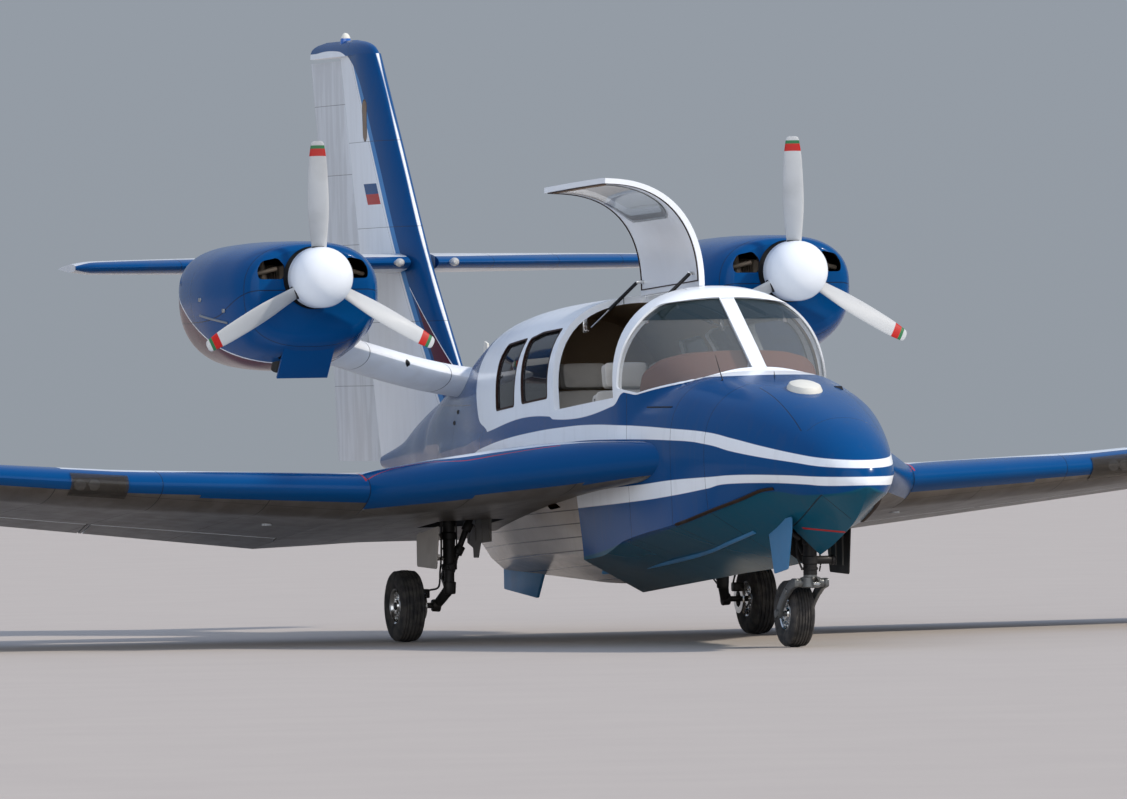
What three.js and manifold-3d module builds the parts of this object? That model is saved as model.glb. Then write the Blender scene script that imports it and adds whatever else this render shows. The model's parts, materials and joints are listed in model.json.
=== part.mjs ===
// Light twin-engined amphibious flying boat, parked on its wheels with the starboard door open.
// Millimetres, +Z up. Inside the aircraft group y runs aft from the nose tip and +x is port.

import * as THREE from "three";
import { mergeVertices } from "three/addons/utils/BufferGeometryUtils.js";
import Module from "manifold-3d";

const wasm = await Module();
wasm.setup();

// Driving dimensions
const overallLength = 10650;
const halfSpan = 6360;
const gap = 0.4;
const skin = 40;

const cabin = { front: 1960, rear: 5330, floor: 780, shellEnd: 5370 };
const sill = { y: 2500, z: 1430, slope: -0.067 };
const noseSplit = { y: 1400, z: 1000 };
const step = { keelY: 4070, chineY: 3350, chineX: 640 };

const wingJoint = 1710;
const flapSpan = { from: 1740, to: 2840 };
const aileronSpan = { from: 2870, to: 6080 };
const surfaceChord = 0.24;
const surfaceGap = 9;
const endGap = 7;
const jackPoint = { x: 2000, y: 5200, z: 720 };

const thrust = { x: 1520, z: 2210, discY: 5600 };
const propellerRadius = 825;
const spinnerTipY = 5370;

const finTop = 3757;
const rudderTop = 3630;
const rudderAxis = { lowY: 9200, lowZ: 1070, highY: 9968, highZ: 3650 };
const tailPivot = { y: 8900, z: 2320 };

const mainWheel = { x: 1120, y: 5260, radius: 217.5, width: 150, rim: 112 };
const noseWheel = { y: 1310, radius: 195, width: 140, rim: 98 };
const mainLeg = { x: 870, y: 5150, footZ: 300 };
const mainBayRoof = 791;
const noseLeg = { y: 1020, footZ: 345 };

const doorHinge = { x: 50, y: 2690, z: 2103, slope: -0.0425 };
const doorOpen = THREE.MathUtils.degToRad(93);
const strut = {
  stations: [2745, 3735],
  door: { out: 78, down: 68 },
  frame: { out: 380, down: 203 },
  frameReach: 105,
  eye: 8,
  cylinder: 11,
  rod: 4.5,
  cylinderLength: 235,
  rodLength: 274,
  rodRoom: 18,
};
const doorCut = {
  sillFront: [2605, 1462],
  sillRear: [3690, 1392],
  topRear: [3790, 2200],
  topFront: [2695, 2200],
};

// Paint and metal
const paint = {
  blue: new THREE.MeshStandardMaterial({ color: 0x0f4f9e, roughness: 0.25, metalness: 0 }),
  white: new THREE.MeshStandardMaterial({ color: 0xe9ecef, roughness: 0.3, metalness: 0 }),
  grey: new THREE.MeshStandardMaterial({ color: 0x9aa0a5, roughness: 0.4, metalness: 0.4 }),
  steel: new THREE.MeshStandardMaterial({ color: 0x3a3d40, roughness: 0.5, metalness: 0.7 }),
  rubber: new THREE.MeshStandardMaterial({ color: 0x17181a, roughness: 0.85, metalness: 0 }),
  tan: new THREE.MeshStandardMaterial({ color: 0xa9805c, roughness: 0.8, metalness: 0 }),
  glass: new THREE.MeshStandardMaterial({
    color: 0x2b3238, roughness: 0.05, metalness: 0, transparent: true, opacity: 0.4 }),
};

// Solids from three.js geometry, joined and cut
function solidOf(geometry) {
  const bare = geometry.clone();
  bare.deleteAttribute("normal");
  bare.deleteAttribute("uv");
  const merged = mergeVertices(bare, 1e-3);
  return new wasm.Manifold(new wasm.Mesh({
    numProp: 3,
    vertProperties: new Float32Array(merged.attributes.position.array),
    triVerts: new Uint32Array(merged.index.array),
  }));
}

function geometryOf(solid) {
  const mesh = solid.getMesh();
  const geometry = new THREE.BufferGeometry();
  geometry.setAttribute("position", new THREE.BufferAttribute(mesh.vertProperties, 3));
  geometry.setIndex(new THREE.BufferAttribute(mesh.triVerts, 1));
  geometry.computeVertexNormals();
  return geometry;
}

const joined = (...solids) => solids.reduce((sum, solid) => sum.add(solid));

// A closed skin over rings of points, with a fan over each end
function loft(rings) {
  const count = rings[0].length;
  const points = rings.flat();
  const index = [];
  for (let r = 0; r + 1 < rings.length; r++) {
    for (let i = 0; i < count; i++) {
      const next = (i + 1) % count;
      const [a, b] = [r * count + i, r * count + next];
      const [c, d] = [a + count, b + count];
      index.push(a, b, d, a, d, c);
    }
  }
  const last = (rings.length - 1) * count;
  for (const [start, ring, flip] of [[0, rings[0], true], [last, rings.at(-1), false]]) {
    const centre = ring.reduce((sum, p) => sum.add(p), new THREE.Vector3()).divideScalar(count);
    points.push(centre);
    for (let i = 0; i < count; i++) {
      const [a, b] = [start + i, start + ((i + 1) % count)];
      index.push(...(flip ? [points.length - 1, b, a] : [points.length - 1, a, b]));
    }
  }
  let volume = 0;
  for (let t = 0; t < index.length; t += 3) {
    const [a, b, c] = index.slice(t, t + 3).map((i) => points[i]);
    volume += a.dot(new THREE.Vector3().crossVectors(b, c));
  }
  if (volume < 0) index.reverse();
  const geometry = new THREE.BufferGeometry();
  const places = points.flatMap((p) => [p.x, p.y, p.z]);
  geometry.setAttribute("position", new THREE.Float32BufferAttribute(places, 3));
  geometry.setIndex(index);
  return solidOf(geometry);
}

function block([x0, x1], [y0, y1], [z0, z1]) {
  const geometry = new THREE.BoxGeometry(x1 - x0, y1 - y0, z1 - z0);
  geometry.translate((x0 + x1) / 2, (y0 + y1) / 2, (z0 + z1) / 2);
  return solidOf(geometry);
}

function bar(from, to, radius, endRadius = radius, sides = 12) {
  const [start, end] = [new THREE.Vector3(...from), new THREE.Vector3(...to)];
  const geometry = new THREE.CylinderGeometry(endRadius, radius, start.distanceTo(end), sides);
  const direction = end.clone().sub(start).normalize();
  geometry.applyQuaternion(new THREE.Quaternion().setFromUnitVectors(new THREE.Vector3(0, 1, 0), direction));
  geometry.translate(...start.add(end).divideScalar(2).toArray());
  return solidOf(geometry);
}

// A side-view outline of [y, z] points, extruded from x0 to x1
function sidePlate(outline, x0, x1) {
  const shape = new THREE.Shape(outline.map(([y, z]) => new THREE.Vector2(y, z)));
  const geometry = new THREE.ExtrudeGeometry(shape, { depth: x1 - x0, bevelEnabled: false });
  geometry.applyMatrix4(new THREE.Matrix4().makeBasis(
    new THREE.Vector3(0, 1, 0), new THREE.Vector3(0, 0, 1), new THREE.Vector3(1, 0, 0)));
  geometry.translate(x0, 0, 0);
  return solidOf(geometry);
}

// A profile of [radius, along] points turned about the x axis direction through (x, y, z)
function turnedAboutX(profile, x, y, z, segments) {
  const geometry = new THREE.LatheGeometry(profile.map(([r, a]) => new THREE.Vector2(r, a)), segments);
  geometry.rotateZ(-Math.PI / 2);
  geometry.translate(x, y, z);
  return solidOf(geometry);
}

function turnedAboutY(profile, x, y, z, segments) {
  const geometry = new THREE.LatheGeometry(profile.map(([r, a]) => new THREE.Vector2(r, a)), segments);
  geometry.translate(x, y, z);
  return solidOf(geometry);
}

const mirrored = (solid) => solid.mirror([1, 0, 0]);

// Fuselage sections: keel, chine, waist and crown, with a superellipse from waist to crown
function hullRing({ y, keel, chineX, chineZ, waistX, waistZ, crown, power }, grow) {
  const half = [[0, keel - grow], [chineX / 2, (keel + chineZ) / 2 - grow], [chineX + grow, chineZ - grow]];
  half.push([(chineX + 2 * waistX) / 3 + grow, (chineZ + waistZ) / 2]);
  const turns = 8;
  for (let i = 0; i <= turns; i++) {
    const angle = (Math.PI / 2) * (i / turns);
    const across = (waistX + grow) * Math.cos(angle) ** (2 / power);
    const up = waistZ + (crown - waistZ + grow) * Math.sin(angle) ** (2 / power);
    half.push([i === turns ? 0 : across, up]);
  }
  const port = half.map(([x, z]) => new THREE.Vector3(x, y, z));
  const starboard = half.slice(1, -1).reverse().map(([x, z]) => new THREE.Vector3(-x, y, z));
  return [...port, ...starboard];
}

const named = (columns, rows) => rows.map(
  (row) => Object.fromEntries(columns.map((name, i) => [name, row[i]])));

const hullColumns = ["y", "keel", "chineX", "chineZ", "waistX", "waistZ", "crown", "power"];
const noseRows = named(hullColumns, [
  [0, 925, 8, 930, 10, 945, 962, 2],
  [25, 885, 62, 900, 80, 955, 1035, 2],
  [90, 818, 125, 890, 155, 970, 1120, 2],
  [220, 735, 190, 885, 235, 990, 1222, 2.1],
  [400, 665, 255, 895, 298, 1010, 1315, 2.2],
  [700, 570, 340, 918, 388, 1030, 1420, 2.4],
  [1000, 505, 425, 865, 463, 1050, 1495, 2.6],
  [1400, 466, 520, 780, 540, 1090, 1555, 2.7],
  [1830, 440, 590, 705, 600, 1150, 1603, 2.8],
]);
const forebodyRows = named(hullColumns, [
  [2150, 422, 605, 670, 618, 1170, 1590, 2.8],
  [2450, 400, 610, 635, 632, 1190, 1550, 2.8],
  [2700, 383, 612, 600, 640, 1200, 1440, 2.8],
  [3350, 338, 612, 525, 655, 1200, 1380, 2.6],
  [4070, 288, 600, 500, 662, 1200, 1340, 2.6],
]);
const afterbodyRows = named(hullColumns, [
  [2600, 430, 570, 640, 638, 1200, 1440, 2.8],
  [3350, 385, 580, 575, 655, 1200, 1380, 2.6],
  [4070, 338, 575, 540, 662, 1200, 1340, 2.6],
  [4650, 340, 480, 525, 655, 1200, 1340, 2.6],
  [5300, 358, 370, 515, 605, 1180, 1340, 2.4],
  [5900, 376, 260, 500, 525, 1150, 1300, 2.2],
  [6500, 390, 145, 485, 440, 1130, 1250, 2],
  [6800, 398, 80, 475, 405, 1120, 1230, 2],
]);
const canopyColumns = ["y", "halfWidth", "springZ", "crown", "power"];
const canopyRows = named(canopyColumns, [
  [1700, 200, 1400, 1530, 2.3],
  [1830, 360, 1400, 1603, 2.3],
  [2000, 475, 1400, 1725, 2.3],
  [2200, 565, 1430, 1868, 2.3],
  [2400, 622, 1450, 2008, 2.35],
  [2535, 650, 1480, 2090, 2.35],
  [2690, 660, 1490, 2105, 2.35],
  [3400, 665, 1460, 2075, 2.5],
  [3750, 665, 1450, 2060, 2.6],
  [4560, 655, 1430, 2030, 2.6],
  [5370, 600, 1400, 1975, 2.4],
  [5980, 505, 1350, 1880, 2.2],
  [6750, 365, 1240, 1730, 1.7],
  [7450, 260, 1150, 1500, 1.8],
]);
const tailColumns = ["y", "halfWidth", "middleZ", "bottom", "crown"];
const tailRows = named(tailColumns, [
  [5900, 480, 1140, 600, 1700],
  [6800, 390, 1155, 612, 1665],
  [7450, 285, 1140, 680, 1520],
  [7800, 235, 1130, 750, 1440],
  [8200, 165, 1120, 830, 1340],
  [8600, 110, 1100, 920, 1210],
  [9155, 50, 1070, 1020, 1120],
]);

const canopyBase = 1150;
function canopyRing({ y, halfWidth, springZ, crown, power }, grow) {
  const ring = [];
  const turns = 16;
  for (let i = 0; i <= turns; i++) {
    const angle = Math.PI * (i / turns);
    const side = Math.sign(Math.cos(angle));
    const across = (halfWidth + grow) * Math.abs(Math.cos(angle)) ** (2 / power);
    const up = springZ + (crown - springZ + grow) * Math.sin(angle) ** (2 / power);
    ring.push(new THREE.Vector3(i === turns / 2 ? 0 : side * across, y, i % turns === 0 ? springZ : up));
  }
  for (const side of [-1, 1]) {
    ring.push(new THREE.Vector3(side * (halfWidth + grow), y, canopyBase));
  }
  return ring;
}

function tailRing({ y, halfWidth, middleZ, bottom, crown }, grow) {
  const turns = 24;
  return Array.from({ length: turns }, (_, i) => {
    const angle = (2 * Math.PI * i) / turns;
    const reach = Math.sin(angle) > 0 ? crown - middleZ + grow : middleZ - bottom + grow;
    return new THREE.Vector3((halfWidth + grow) * Math.cos(angle), y, middleZ + reach * Math.sin(angle));
  });
}

const lowerLoft = (grow) => {
  const fore = loft([...noseRows, ...forebodyRows].map((row) => hullRing(row, grow)));
  const stepCut = (side) => {
    const { keelY, chineY, chineX } = step;
    const run = [[0, keelY], [side * chineX, chineY], [side * 900, chineY], [side * 900, 4300], [0, 4300]];
    const shape = new THREE.Shape(run.map(([x, y]) => new THREE.Vector2(x, y)));
    const geometry = new THREE.ExtrudeGeometry(shape, { depth: 2000, bevelEnabled: false });
    return solidOf(geometry);
  };
  const after = loft(afterbodyRows.map((row) => hullRing(row, grow)));
  return joined(fore.subtract(stepCut(1)).subtract(stepCut(-1)), after);
};
const canopyLoft = (grow) => loft(canopyRows.map((row) => canopyRing(row, grow)));
const tailLoft = (grow) => loft(tailRows.map((row) => tailRing(row, grow)));
const wholeFuselage = (grow) => joined(lowerLoft(grow), canopyLoft(grow), tailLoft(grow));

const fuselageSolid = wholeFuselage(0);
const fuselageClearance = joined(wholeFuselage(gap), mirrored(wholeFuselage(gap)));

// Cabin hollow: straight-sided below the sill, following the canopy above it
const hollowRows = named(["y", "half"], [[cabin.front, 560], [2300, 575], [4600, 590], [cabin.rear, 545]]);
const lowerHollow = loft(hollowRows.map(({ y, half }) => {
  const right = [[half - 60, cabin.floor], [half, 1000], [half, 1340]];
  const left = right.map(([x, z]) => [-x, z]).reverse();
  return [...right, ...left].map(([x, z]) => new THREE.Vector3(x, y, z));
}));
const canopyHollow = canopyLoft(-skin).intersect(block([-900, 900], [1700, cabin.rear], [1160, 2300]));
const cabinHollow = joined(lowerHollow, canopyHollow);

const sillAt = (y) => sill.z + sill.slope * (y - sill.y);
const aboveSill = (offset) => {
  const edge = [1500, cabin.shellEnd].map((y) => [y, sillAt(y) + offset]);
  return sidePlate([...edge, [cabin.shellEnd, 2400], [1500, 2400]], -900, 900);
};

const shell = fuselageSolid.subtract(cabinHollow);
const noseBay = block([-205, 205], [840, 1530], [300, 760]);
const noseBlock = block([-900, 900], [-100, noseSplit.y], [noseSplit.z, 1700]);
const noseDeck = lowerLoft(0).intersect(noseBlock);
const deckUnderCanopy = lowerLoft(gap).intersect(block([-900, 900], [1500, 2760], [1100, 1700]));
const canopyZone = aboveSill(0).intersect(block([-900, 900], [1500, cabin.shellEnd], [1200, 2400]));

// Windows and doors are cut through the shell from the side
const windscreenCut = sidePlate([
  [1850, 1650], [2440, 2060], [2462, 2030], [2530, 2010], [2560, 1700], [2560, 1500], [2330, 1470],
  [1830, 1560]], 45, 900);
const rearWindows = joined(
  sidePlate([[3815, 1455], [4332, 1423], [4400, 1800], [4375, 1822], [4206, 1856], [3842, 1876]], 300, 900),
  sidePlate([[4485, 1408], [4890, 1382], [4920, 1700], [4885, 1785], [4480, 1822], [4455, 1800]], 300, 900),
);
const doorOutline = [doorCut.sillFront, doorCut.sillRear, doorCut.topRear, doorCut.topFront];
const grownOutline = (outline, by) => {
  const y = outline.reduce((sum, p) => sum + p[0], 0) / outline.length;
  const z = outline.reduce((sum, p) => sum + p[1], 0) / outline.length;
  return outline.map((p) => [p[0] + by * Math.sign(p[0] - y), p[1] + by * Math.sign(p[1] - z)]);
};
const doorZone = (by) => sidePlate(grownOutline(doorOutline, by), doorHinge.x - by, 900);
const bothSides = (solid) => joined(solid, mirrored(solid));

const canopyShell = shell.intersect(canopyZone).subtract(deckUnderCanopy);
const cabinFrame = canopyShell
  .subtract(bothSides(windscreenCut))
  .subtract(bothSides(rearWindows))
  .subtract(bothSides(doorZone(6)));
// Glass panes lie in the middle of the shell's thickness
const paneSkin = (outer, inner) => canopyLoft(-outer).subtract(canopyLoft(-inner));
const glassLayer = paneSkin(14, 22).intersect(block([-900, 900], [1705, cabin.rear], [1200, 2300]));
const portWindscreen = glassLayer
  .intersect(sidePlate([
    [1852, 1649], [2441, 2058], [2461, 2029], [2528, 2009], [2558, 1700], [2558, 1502], [2330, 1472],
    [1832, 1561]], 46, 900))
  .subtract(lowerLoft(gap));
const portRearGlass = paneSkin(41, 49)
  .intersect(sidePlate([
    [3792, 1430], [4925, 1360], [4962, 1715], [4910, 1805], [4490, 1845], [3815, 1898]], 300, 900));

// Gull door, shut in place, with its window cut
const doorWindowCut = sidePlate([
  [2790, 1520], [3560, 1470], [3640, 1800], [3560, 1880], [2900, 1905], [2800, 1850]], 300, 900);
const hingeZ = (y) => doorHinge.z + doorHinge.slope * (y - doorHinge.y);
const strutPin = ({ out, down }, y) => ({ x: doorHinge.x + out, z: hingeZ(y) - down });
const doorLugs = joined(...strut.stations.map((y, i) => {
  const inward = i === 0 ? 1 : -1;
  const { x, z } = strutPin(strut.door, y);
  return joined(
    block([x - 10, x + 10], [y + inward * 22 - 6, y + inward * 22 + 6], [z - 12, z + 48]),
    bar([x, y + inward * 22, z], [x, y - inward * 8, z], 5));
}));
const frameLugs = joined(...strut.stations.map((y, i) => {
  const outward = i === 0 ? -1 : 1;
  const { x, z } = strutPin(strut.frame, y);
  const root = y + outward * (i === 0 ? strut.frameReach : 62);
  return joined(
    block([x - 14, x + 14], [root - 12, root + 12], [z - 12, z + 80]),
    bar([x, root, z], [x, y - outward * 6, z], 5));
}));
const portDoor = joined(
  canopyLoft(0).subtract(canopyLoft(-34)).intersect(doorZone(0)).subtract(doorWindowCut), doorLugs);
const portDoorGlass = canopyLoft(-34.6).subtract(canopyLoft(-40))
  .intersect(sidePlate([
    [2770, 1500], [3580, 1450], [3665, 1810], [3570, 1900], [2890, 1925], [2780, 1865]], 300, 900));

// Wing sections: a quarter ellipse to the deepest point, then a taper to the trailing edge
const wingColumns = ["x", "leadY", "leadZ", "trailY", "trailZ", "upper", "lower", "deepest"];
const centreWingRows = named(wingColumns, [
  [380, 1560, 1110, 6440, 600, 120, 90, 420],
  [620, 1940, 1095, 6445, 600, 130, 95, 450],
  [1000, 2610, 1045, 6452, 598, 195, 125, 500],
  [1300, 3170, 1000, 6460, 586, 185, 125, 500],
  [wingJoint - gap, 4010, 935, 6468, 570, 145, 115, 430],
]);
const outerWingRows = named(wingColumns, [
  [wingJoint + gap, 4010, 935, 6468, 570, 145, 115, 430],
  [3050, 4540, 985, 6627, 715, 130, 95, 400],
  [6250, 5730, 1232, 7007, 1062, 80, 55, 280],
  [6340, 5860, 1240, 6990, 1075, 55, 40, 240],
  [halfSpan, 6050, 1240, 6930, 1085, 15, 15, 200],
]);
const trailHalf = 5;

function wingHeights(row, s, chord) {
  const { upper, lower, deepest } = row;
  if (s <= deepest) {
    const rise = Math.sqrt(Math.max(0, 1 - (1 - s / deepest) ** 2));
    return [upper * rise, lower * rise];
  }
  const run = (s - deepest) / (chord - deepest);
  const [above, below] = [1 - run ** 1.35, 1 - run ** 0.7];
  return [trailHalf + (upper - trailHalf) * above, trailHalf + (lower - trailHalf) * below];
}

function wingRing(row) {
  const chord = row.trailY - row.leadY;
  const stops = [0.04, 0.15, 0.35, 0.65, 1].map((t) => t * row.deepest);
  for (const t of [0.2, 0.4, 0.6, 0.8, 1]) {
    stops.push(row.deepest + t * (chord - row.deepest));
  }
  const base = (s) => row.leadZ + ((row.trailZ - row.leadZ) * s) / chord;
  const at = (s, up) => new THREE.Vector3(row.x, row.leadY + s, base(s) + up);
  const top = stops.map((s) => at(s, wingHeights(row, s, chord)[0]));
  const under = stops.map((s) => at(s, -wingHeights(row, s, chord)[1]));
  return [at(0, 0), ...top, ...under.reverse()];
}

function rowBetween(rows, x) {
  const i = Math.max(0, rows.findIndex((row) => row.x >= x) - 1);
  const [a, b] = [rows[i], rows[i + 1]];
  const t = (x - a.x) / (b.x - a.x);
  return Object.fromEntries(wingColumns.map((name) => [name, a[name] + t * (b[name] - a[name])]));
}

const mainBay = block([580, mainLeg.x + 120], [4930, 5420], [400, mainBayRoof]);
const centreWing = loft(centreWingRows.map(wingRing)).subtract(fuselageClearance).subtract(mainBay);
const outerWingSolid = loft(outerWingRows.map(wingRing));

// A flap or aileron: the wing's trailing part behind a hinge line, with a round nose
function hingePoint(x, share) {
  const row = rowBetween(outerWingRows, x);
  const chord = row.trailY - row.leadY;
  const s = chord * (1 - share);
  const [up, down] = wingHeights(row, s, chord);
  const z = row.leadZ + ((row.trailZ - row.leadZ) * s) / chord + (up - down) / 2;
  return { x, y: row.leadY + s, z, half: (up + down) / 2 };
}

function surfaceOf(span, room) {
  const [start, end] = [span.from, span.to].map((x) => hingePoint(x, surfaceChord));
  const [a, b] = [start, end].map(({ x, y, z }) => new THREE.Vector3(x, y, z));
  const along = b.clone().sub(a).normalize();
  const aft = new THREE.Vector3(0, 1, 0).projectOnPlane(along).normalize();
  const up = new THREE.Vector3().crossVectors(along, aft);
  const endRoom = room > 0 ? endGap : 0;
  a.addScaledVector(along, -endRoom);
  b.addScaledVector(along, endRoom);
  const behind = loft([a, b].map((end) => [[0, -300], [0, 300], [1200, 300], [1200, -300]].map(
    ([back, rise]) => end.clone().addScaledVector(aft, back).addScaledVector(up, rise))));
  const nose = bar(a.toArray(), b.toArray(), start.half + room, end.half + room, 16);
  return joined(behind, nose);
}

const { x: jackX, y: jackY, z: jackZ } = jackPoint;
const jackPad = bar([jackX, jackY, jackZ], [jackX, jackY, jackZ + 60], 32, 32, 20);
const surfaceRoom = joined(...[flapSpan, aileronSpan].map((span) => surfaceOf(span, surfaceGap)));
const portOuterWing = joined(outerWingSolid.subtract(surfaceRoom), jackPad);
const movingSurface = (span) => outerWingSolid.intersect(surfaceOf(span, -2));

// Nacelles: rounded sections about the thrust line
const cowlColumns = ["y", "halfWidth", "top", "bottom"];
const cowlRows = named(cowlColumns, [
  [5730, 380, 190, 370],
  [5770, 415, 212, 410],
  [5950, 470, 225, 480],
  [6400, 520, 230, 560],
  [6900, 490, 222, 545],
  [7300, 380, 200, 430],
  [7600, 210, 150, 270],
  [7720, 90, 90, 130],
]);

function cowlRing({ y, halfWidth, top, bottom }, grow) {
  const turns = 24;
  const power = 2.5;
  return Array.from({ length: turns }, (_, i) => {
    const angle = (2 * Math.PI * i) / turns;
    const [c, s] = [Math.cos(angle), Math.sin(angle)];
    const reach = s > 0 ? top + grow : bottom + grow;
    const middle = -90;
    const x = thrust.x + Math.sign(c) * (halfWidth + grow) * Math.abs(c) ** (2 / power);
    const up = middle + Math.sign(s) * (s > 0 ? reach - middle : reach + middle) * Math.abs(s) ** (2 / power);
    return new THREE.Vector3(x, y, thrust.z + up);
  });
}

const cowlSolid = (grow) => loft(cowlRows.map((row) => cowlRing(row, grow)));
const cowlHollow = cowlSolid(-25).intersect(block([800, 2300], [5750, 7450], [1500, 2600]));
const intakes = joined(...[-1, 1].map((side) => block(
  [thrust.x + side * 270 - 80, thrust.x + side * 270 + 80], [5600, 5800], [thrust.z + 10, thrust.z + 130])));
const spinnerHole = turnedAboutY([[0, 0], [150, 0], [150, 200], [0, 200]], thrust.x, 5620, thrust.z, 24);
const coolingExit = block([thrust.x - 150, thrust.x + 150], [5850, 6010], [1500, 1850]);
const cowlFlap = sidePlate(
  [[5818, 1802], [5838, 1802], [6012, 1612], [6000, 1602]], thrust.x - 160, thrust.x + 160);
const portCowling = joined(
  cowlSolid(0).subtract(cowlHollow).subtract(intakes).subtract(spinnerHole).subtract(coolingExit), cowlFlap);
const engineBlock = block([thrust.x - 330, thrust.x + 330], [5900, 6650], [1880, 2330]);

// A ring round an aerofoil: one side of the profile, then the other side back to the nose
const foilRing = (profile, at) => [
  ...profile.map(([s, out]) => at(s, out)),
  ...profile.slice(1).reverse().map(([s, out]) => at(s, -out)),
];

// Pylon: an aerofoil strut from the spine's shoulder to the nacelle
function pylonRing(x, y, z, chord, thick, tilt) {
  const half = thick / 2;
  const profile = [[0, 0], [0.04, 0.55], [0.15, 0.9], [0.35, 1], [0.7, 0.62], [1, 0.06]];
  const at = (s, up) => new THREE.Vector3(x, y + s * chord, z - s * tilt + up * half);
  return foilRing(profile, at);
}
const pylonSolid = loft([
  pylonRing(100, 5950, 1540, 1310, 190, 40),
  pylonRing(500, 6010, 1600, 1250, 185, 40),
  pylonRing(1250, 6100, 1815, 1050, 180, 40),
]);
const portPylon = pylonSolid.subtract(fuselageClearance).subtract(cowlSolid(gap));

// Propeller: spinner and three blades
const bladeColumns = ["radius", "chord", "thick", "twist"];
const bladeRows = named(bladeColumns, [
  [60, 70, 60, 50],
  [210, 105, 40, 42],
  [420, 130, 24, 30],
  [650, 115, 16, 22],
  [790, 85, 11, 18],
  [propellerRadius, 40, 8, 17],
]);

function blade(turn) {
  const rings = bladeRows.map(({ radius, chord, thick, twist }) => {
    const angle = THREE.MathUtils.degToRad(twist);
    return Array.from({ length: 10 }, (_, i) => {
      const around = (2 * Math.PI * i) / 10;
      const [along, across] = [(chord / 2) * Math.cos(around), (thick / 2) * Math.sin(around)];
      const point = new THREE.Vector3(
        along * Math.cos(angle) - across * Math.sin(angle),
        along * Math.sin(angle) + across * Math.cos(angle), radius);
      point.applyAxisAngle(new THREE.Vector3(0, 1, 0), turn);
      return point.add(new THREE.Vector3(thrust.x, thrust.discY, thrust.z));
    });
  });
  return loft(rings);
}

const spinnerProfile = [
  [0, 0], [57, 12], [114, 48], [157, 105], [180, 180], [185, 280], [125, 280], [125, 330], [0, 330]];
const propeller = joined(
  turnedAboutY(spinnerProfile, thrust.x, spinnerTipY, thrust.z, 24),
  ...[0, 1, 2].map((i) => blade((i * 2 * Math.PI) / 3)),
);

// Fin, rudder and tailplane
function finRing(z, leadY, trailY, half, deepShare = 0.35) {
  const profile = [[0, 0], [0.02, 0.35], [0.08, 0.68], [deepShare, 1], [0.7, 0.75], [1, 0.4]];
  const at = (s, out) => new THREE.Vector3(out * half, leadY + s * (trailY - leadY), z);
  return foilRing(profile, at);
}

const rudderHinge = (z) => {
  const { lowY, lowZ, highY, highZ } = rudderAxis;
  return lowY + ((highY - lowY) * (z - lowZ)) / (highZ - lowZ);
};
const finRows = named(["z", "leadY", "half"], [
  [1050, 7010, 97],
  [1300, 7250, 95],
  [1700, 7640, 92],
  [2360, 8250, 84],
  [3000, 8730, 76],
  [3665, 9232, 66],
]);
const finBody = loft(finRows.map(({ z, leadY, half }) => finRing(z, leadY, rudderHinge(z), half)));
const capRows = named(["z", "leadY", "trailY", "half"], [
  [3656, 9226, 10600, 66],
  [3700, 9290, 10600, 56],
  [3735, 9420, 10520, 38],
  [finTop, 9650, 10300, 14],
]);
const finCap = loft(capRows.map(({ z, leadY, trailY, half }) => finRing(z, leadY, trailY, half, 0.3)));
const rudderNoseHole = bar([0, rudderHinge(900), 900], [0, rudderHinge(3656), 3656], 62, 48, 16);
const beacon = turnedAboutX([[0, -30], [55, -30], [55, 10], [35, 45], [0, 60]], 0, 0, 0, 16)
  .rotate([0, -90, 0]).translate([0, 9910, 3750]);
const pivotHole = bar([-200, tailPivot.y, tailPivot.z], [200, tailPivot.y, tailPivot.z], 46, 46, 20);
const fin = joined(finBody.subtract(rudderNoseHole), finCap, beacon).subtract(pivotHole)
  .subtract(fuselageClearance);

const rudderRows = named(["z", "trailY", "half"], [
  [1072, 10195, 34],
  [1650, 10262, 44],
  [2700, 10440, 38],
  [rudderTop, overallLength, 30],
]);
const rudderRing = ({ z, trailY, half }) => {
  const front = rudderHinge(z);
  const at = (y, out) => new THREE.Vector3(out, y, z);
  return [at(front, half), at(front + 0.4 * (trailY - front), half * 0.75), at(trailY, 5),
    at(trailY, -5), at(front + 0.4 * (trailY - front), -half * 0.75), at(front, -half)];
};
const rudderNose = bar([0, rudderHinge(1072), 1072], [0, rudderHinge(rudderTop), rudderTop], 34, 30, 16);
const rudder = joined(loft(rudderRows.map(rudderRing)), rudderNose)
  .intersect(block([-300, 300], [8000, 11000], [1072, rudderTop]));

function tailHalf(side) {
  const rows = named(["x", "leadY", "trailY", "half"], [
    [92, 8300, 9360, 62],
    [1950, 8960, 9480, 42],
    [2060, 9060, 9470, 26],
  ]);
  return loft(rows.map(({ x, leadY, trailY, half }) => {
    const profile = [[0, 0], [0.04, 0.5], [0.15, 0.85], [0.35, 1], [0.7, 0.6], [1, 0.08]];
    const at = (s, up) => new THREE.Vector3(side * x, leadY + s * (trailY - leadY), tailPivot.z + up * half);
    return foilRing(profile, at);
  }));
}
const balance = (side) => bar([side * 180, 8215, tailPivot.z], [side * 180, 8500, tailPivot.z], 22, 34, 12);
const tailplane = joined(
  tailHalf(1), tailHalf(-1), balance(1), balance(-1),
  bar([-120, tailPivot.y, tailPivot.z], [120, tailPivot.y, tailPivot.z], 38, 38, 16));

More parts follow.
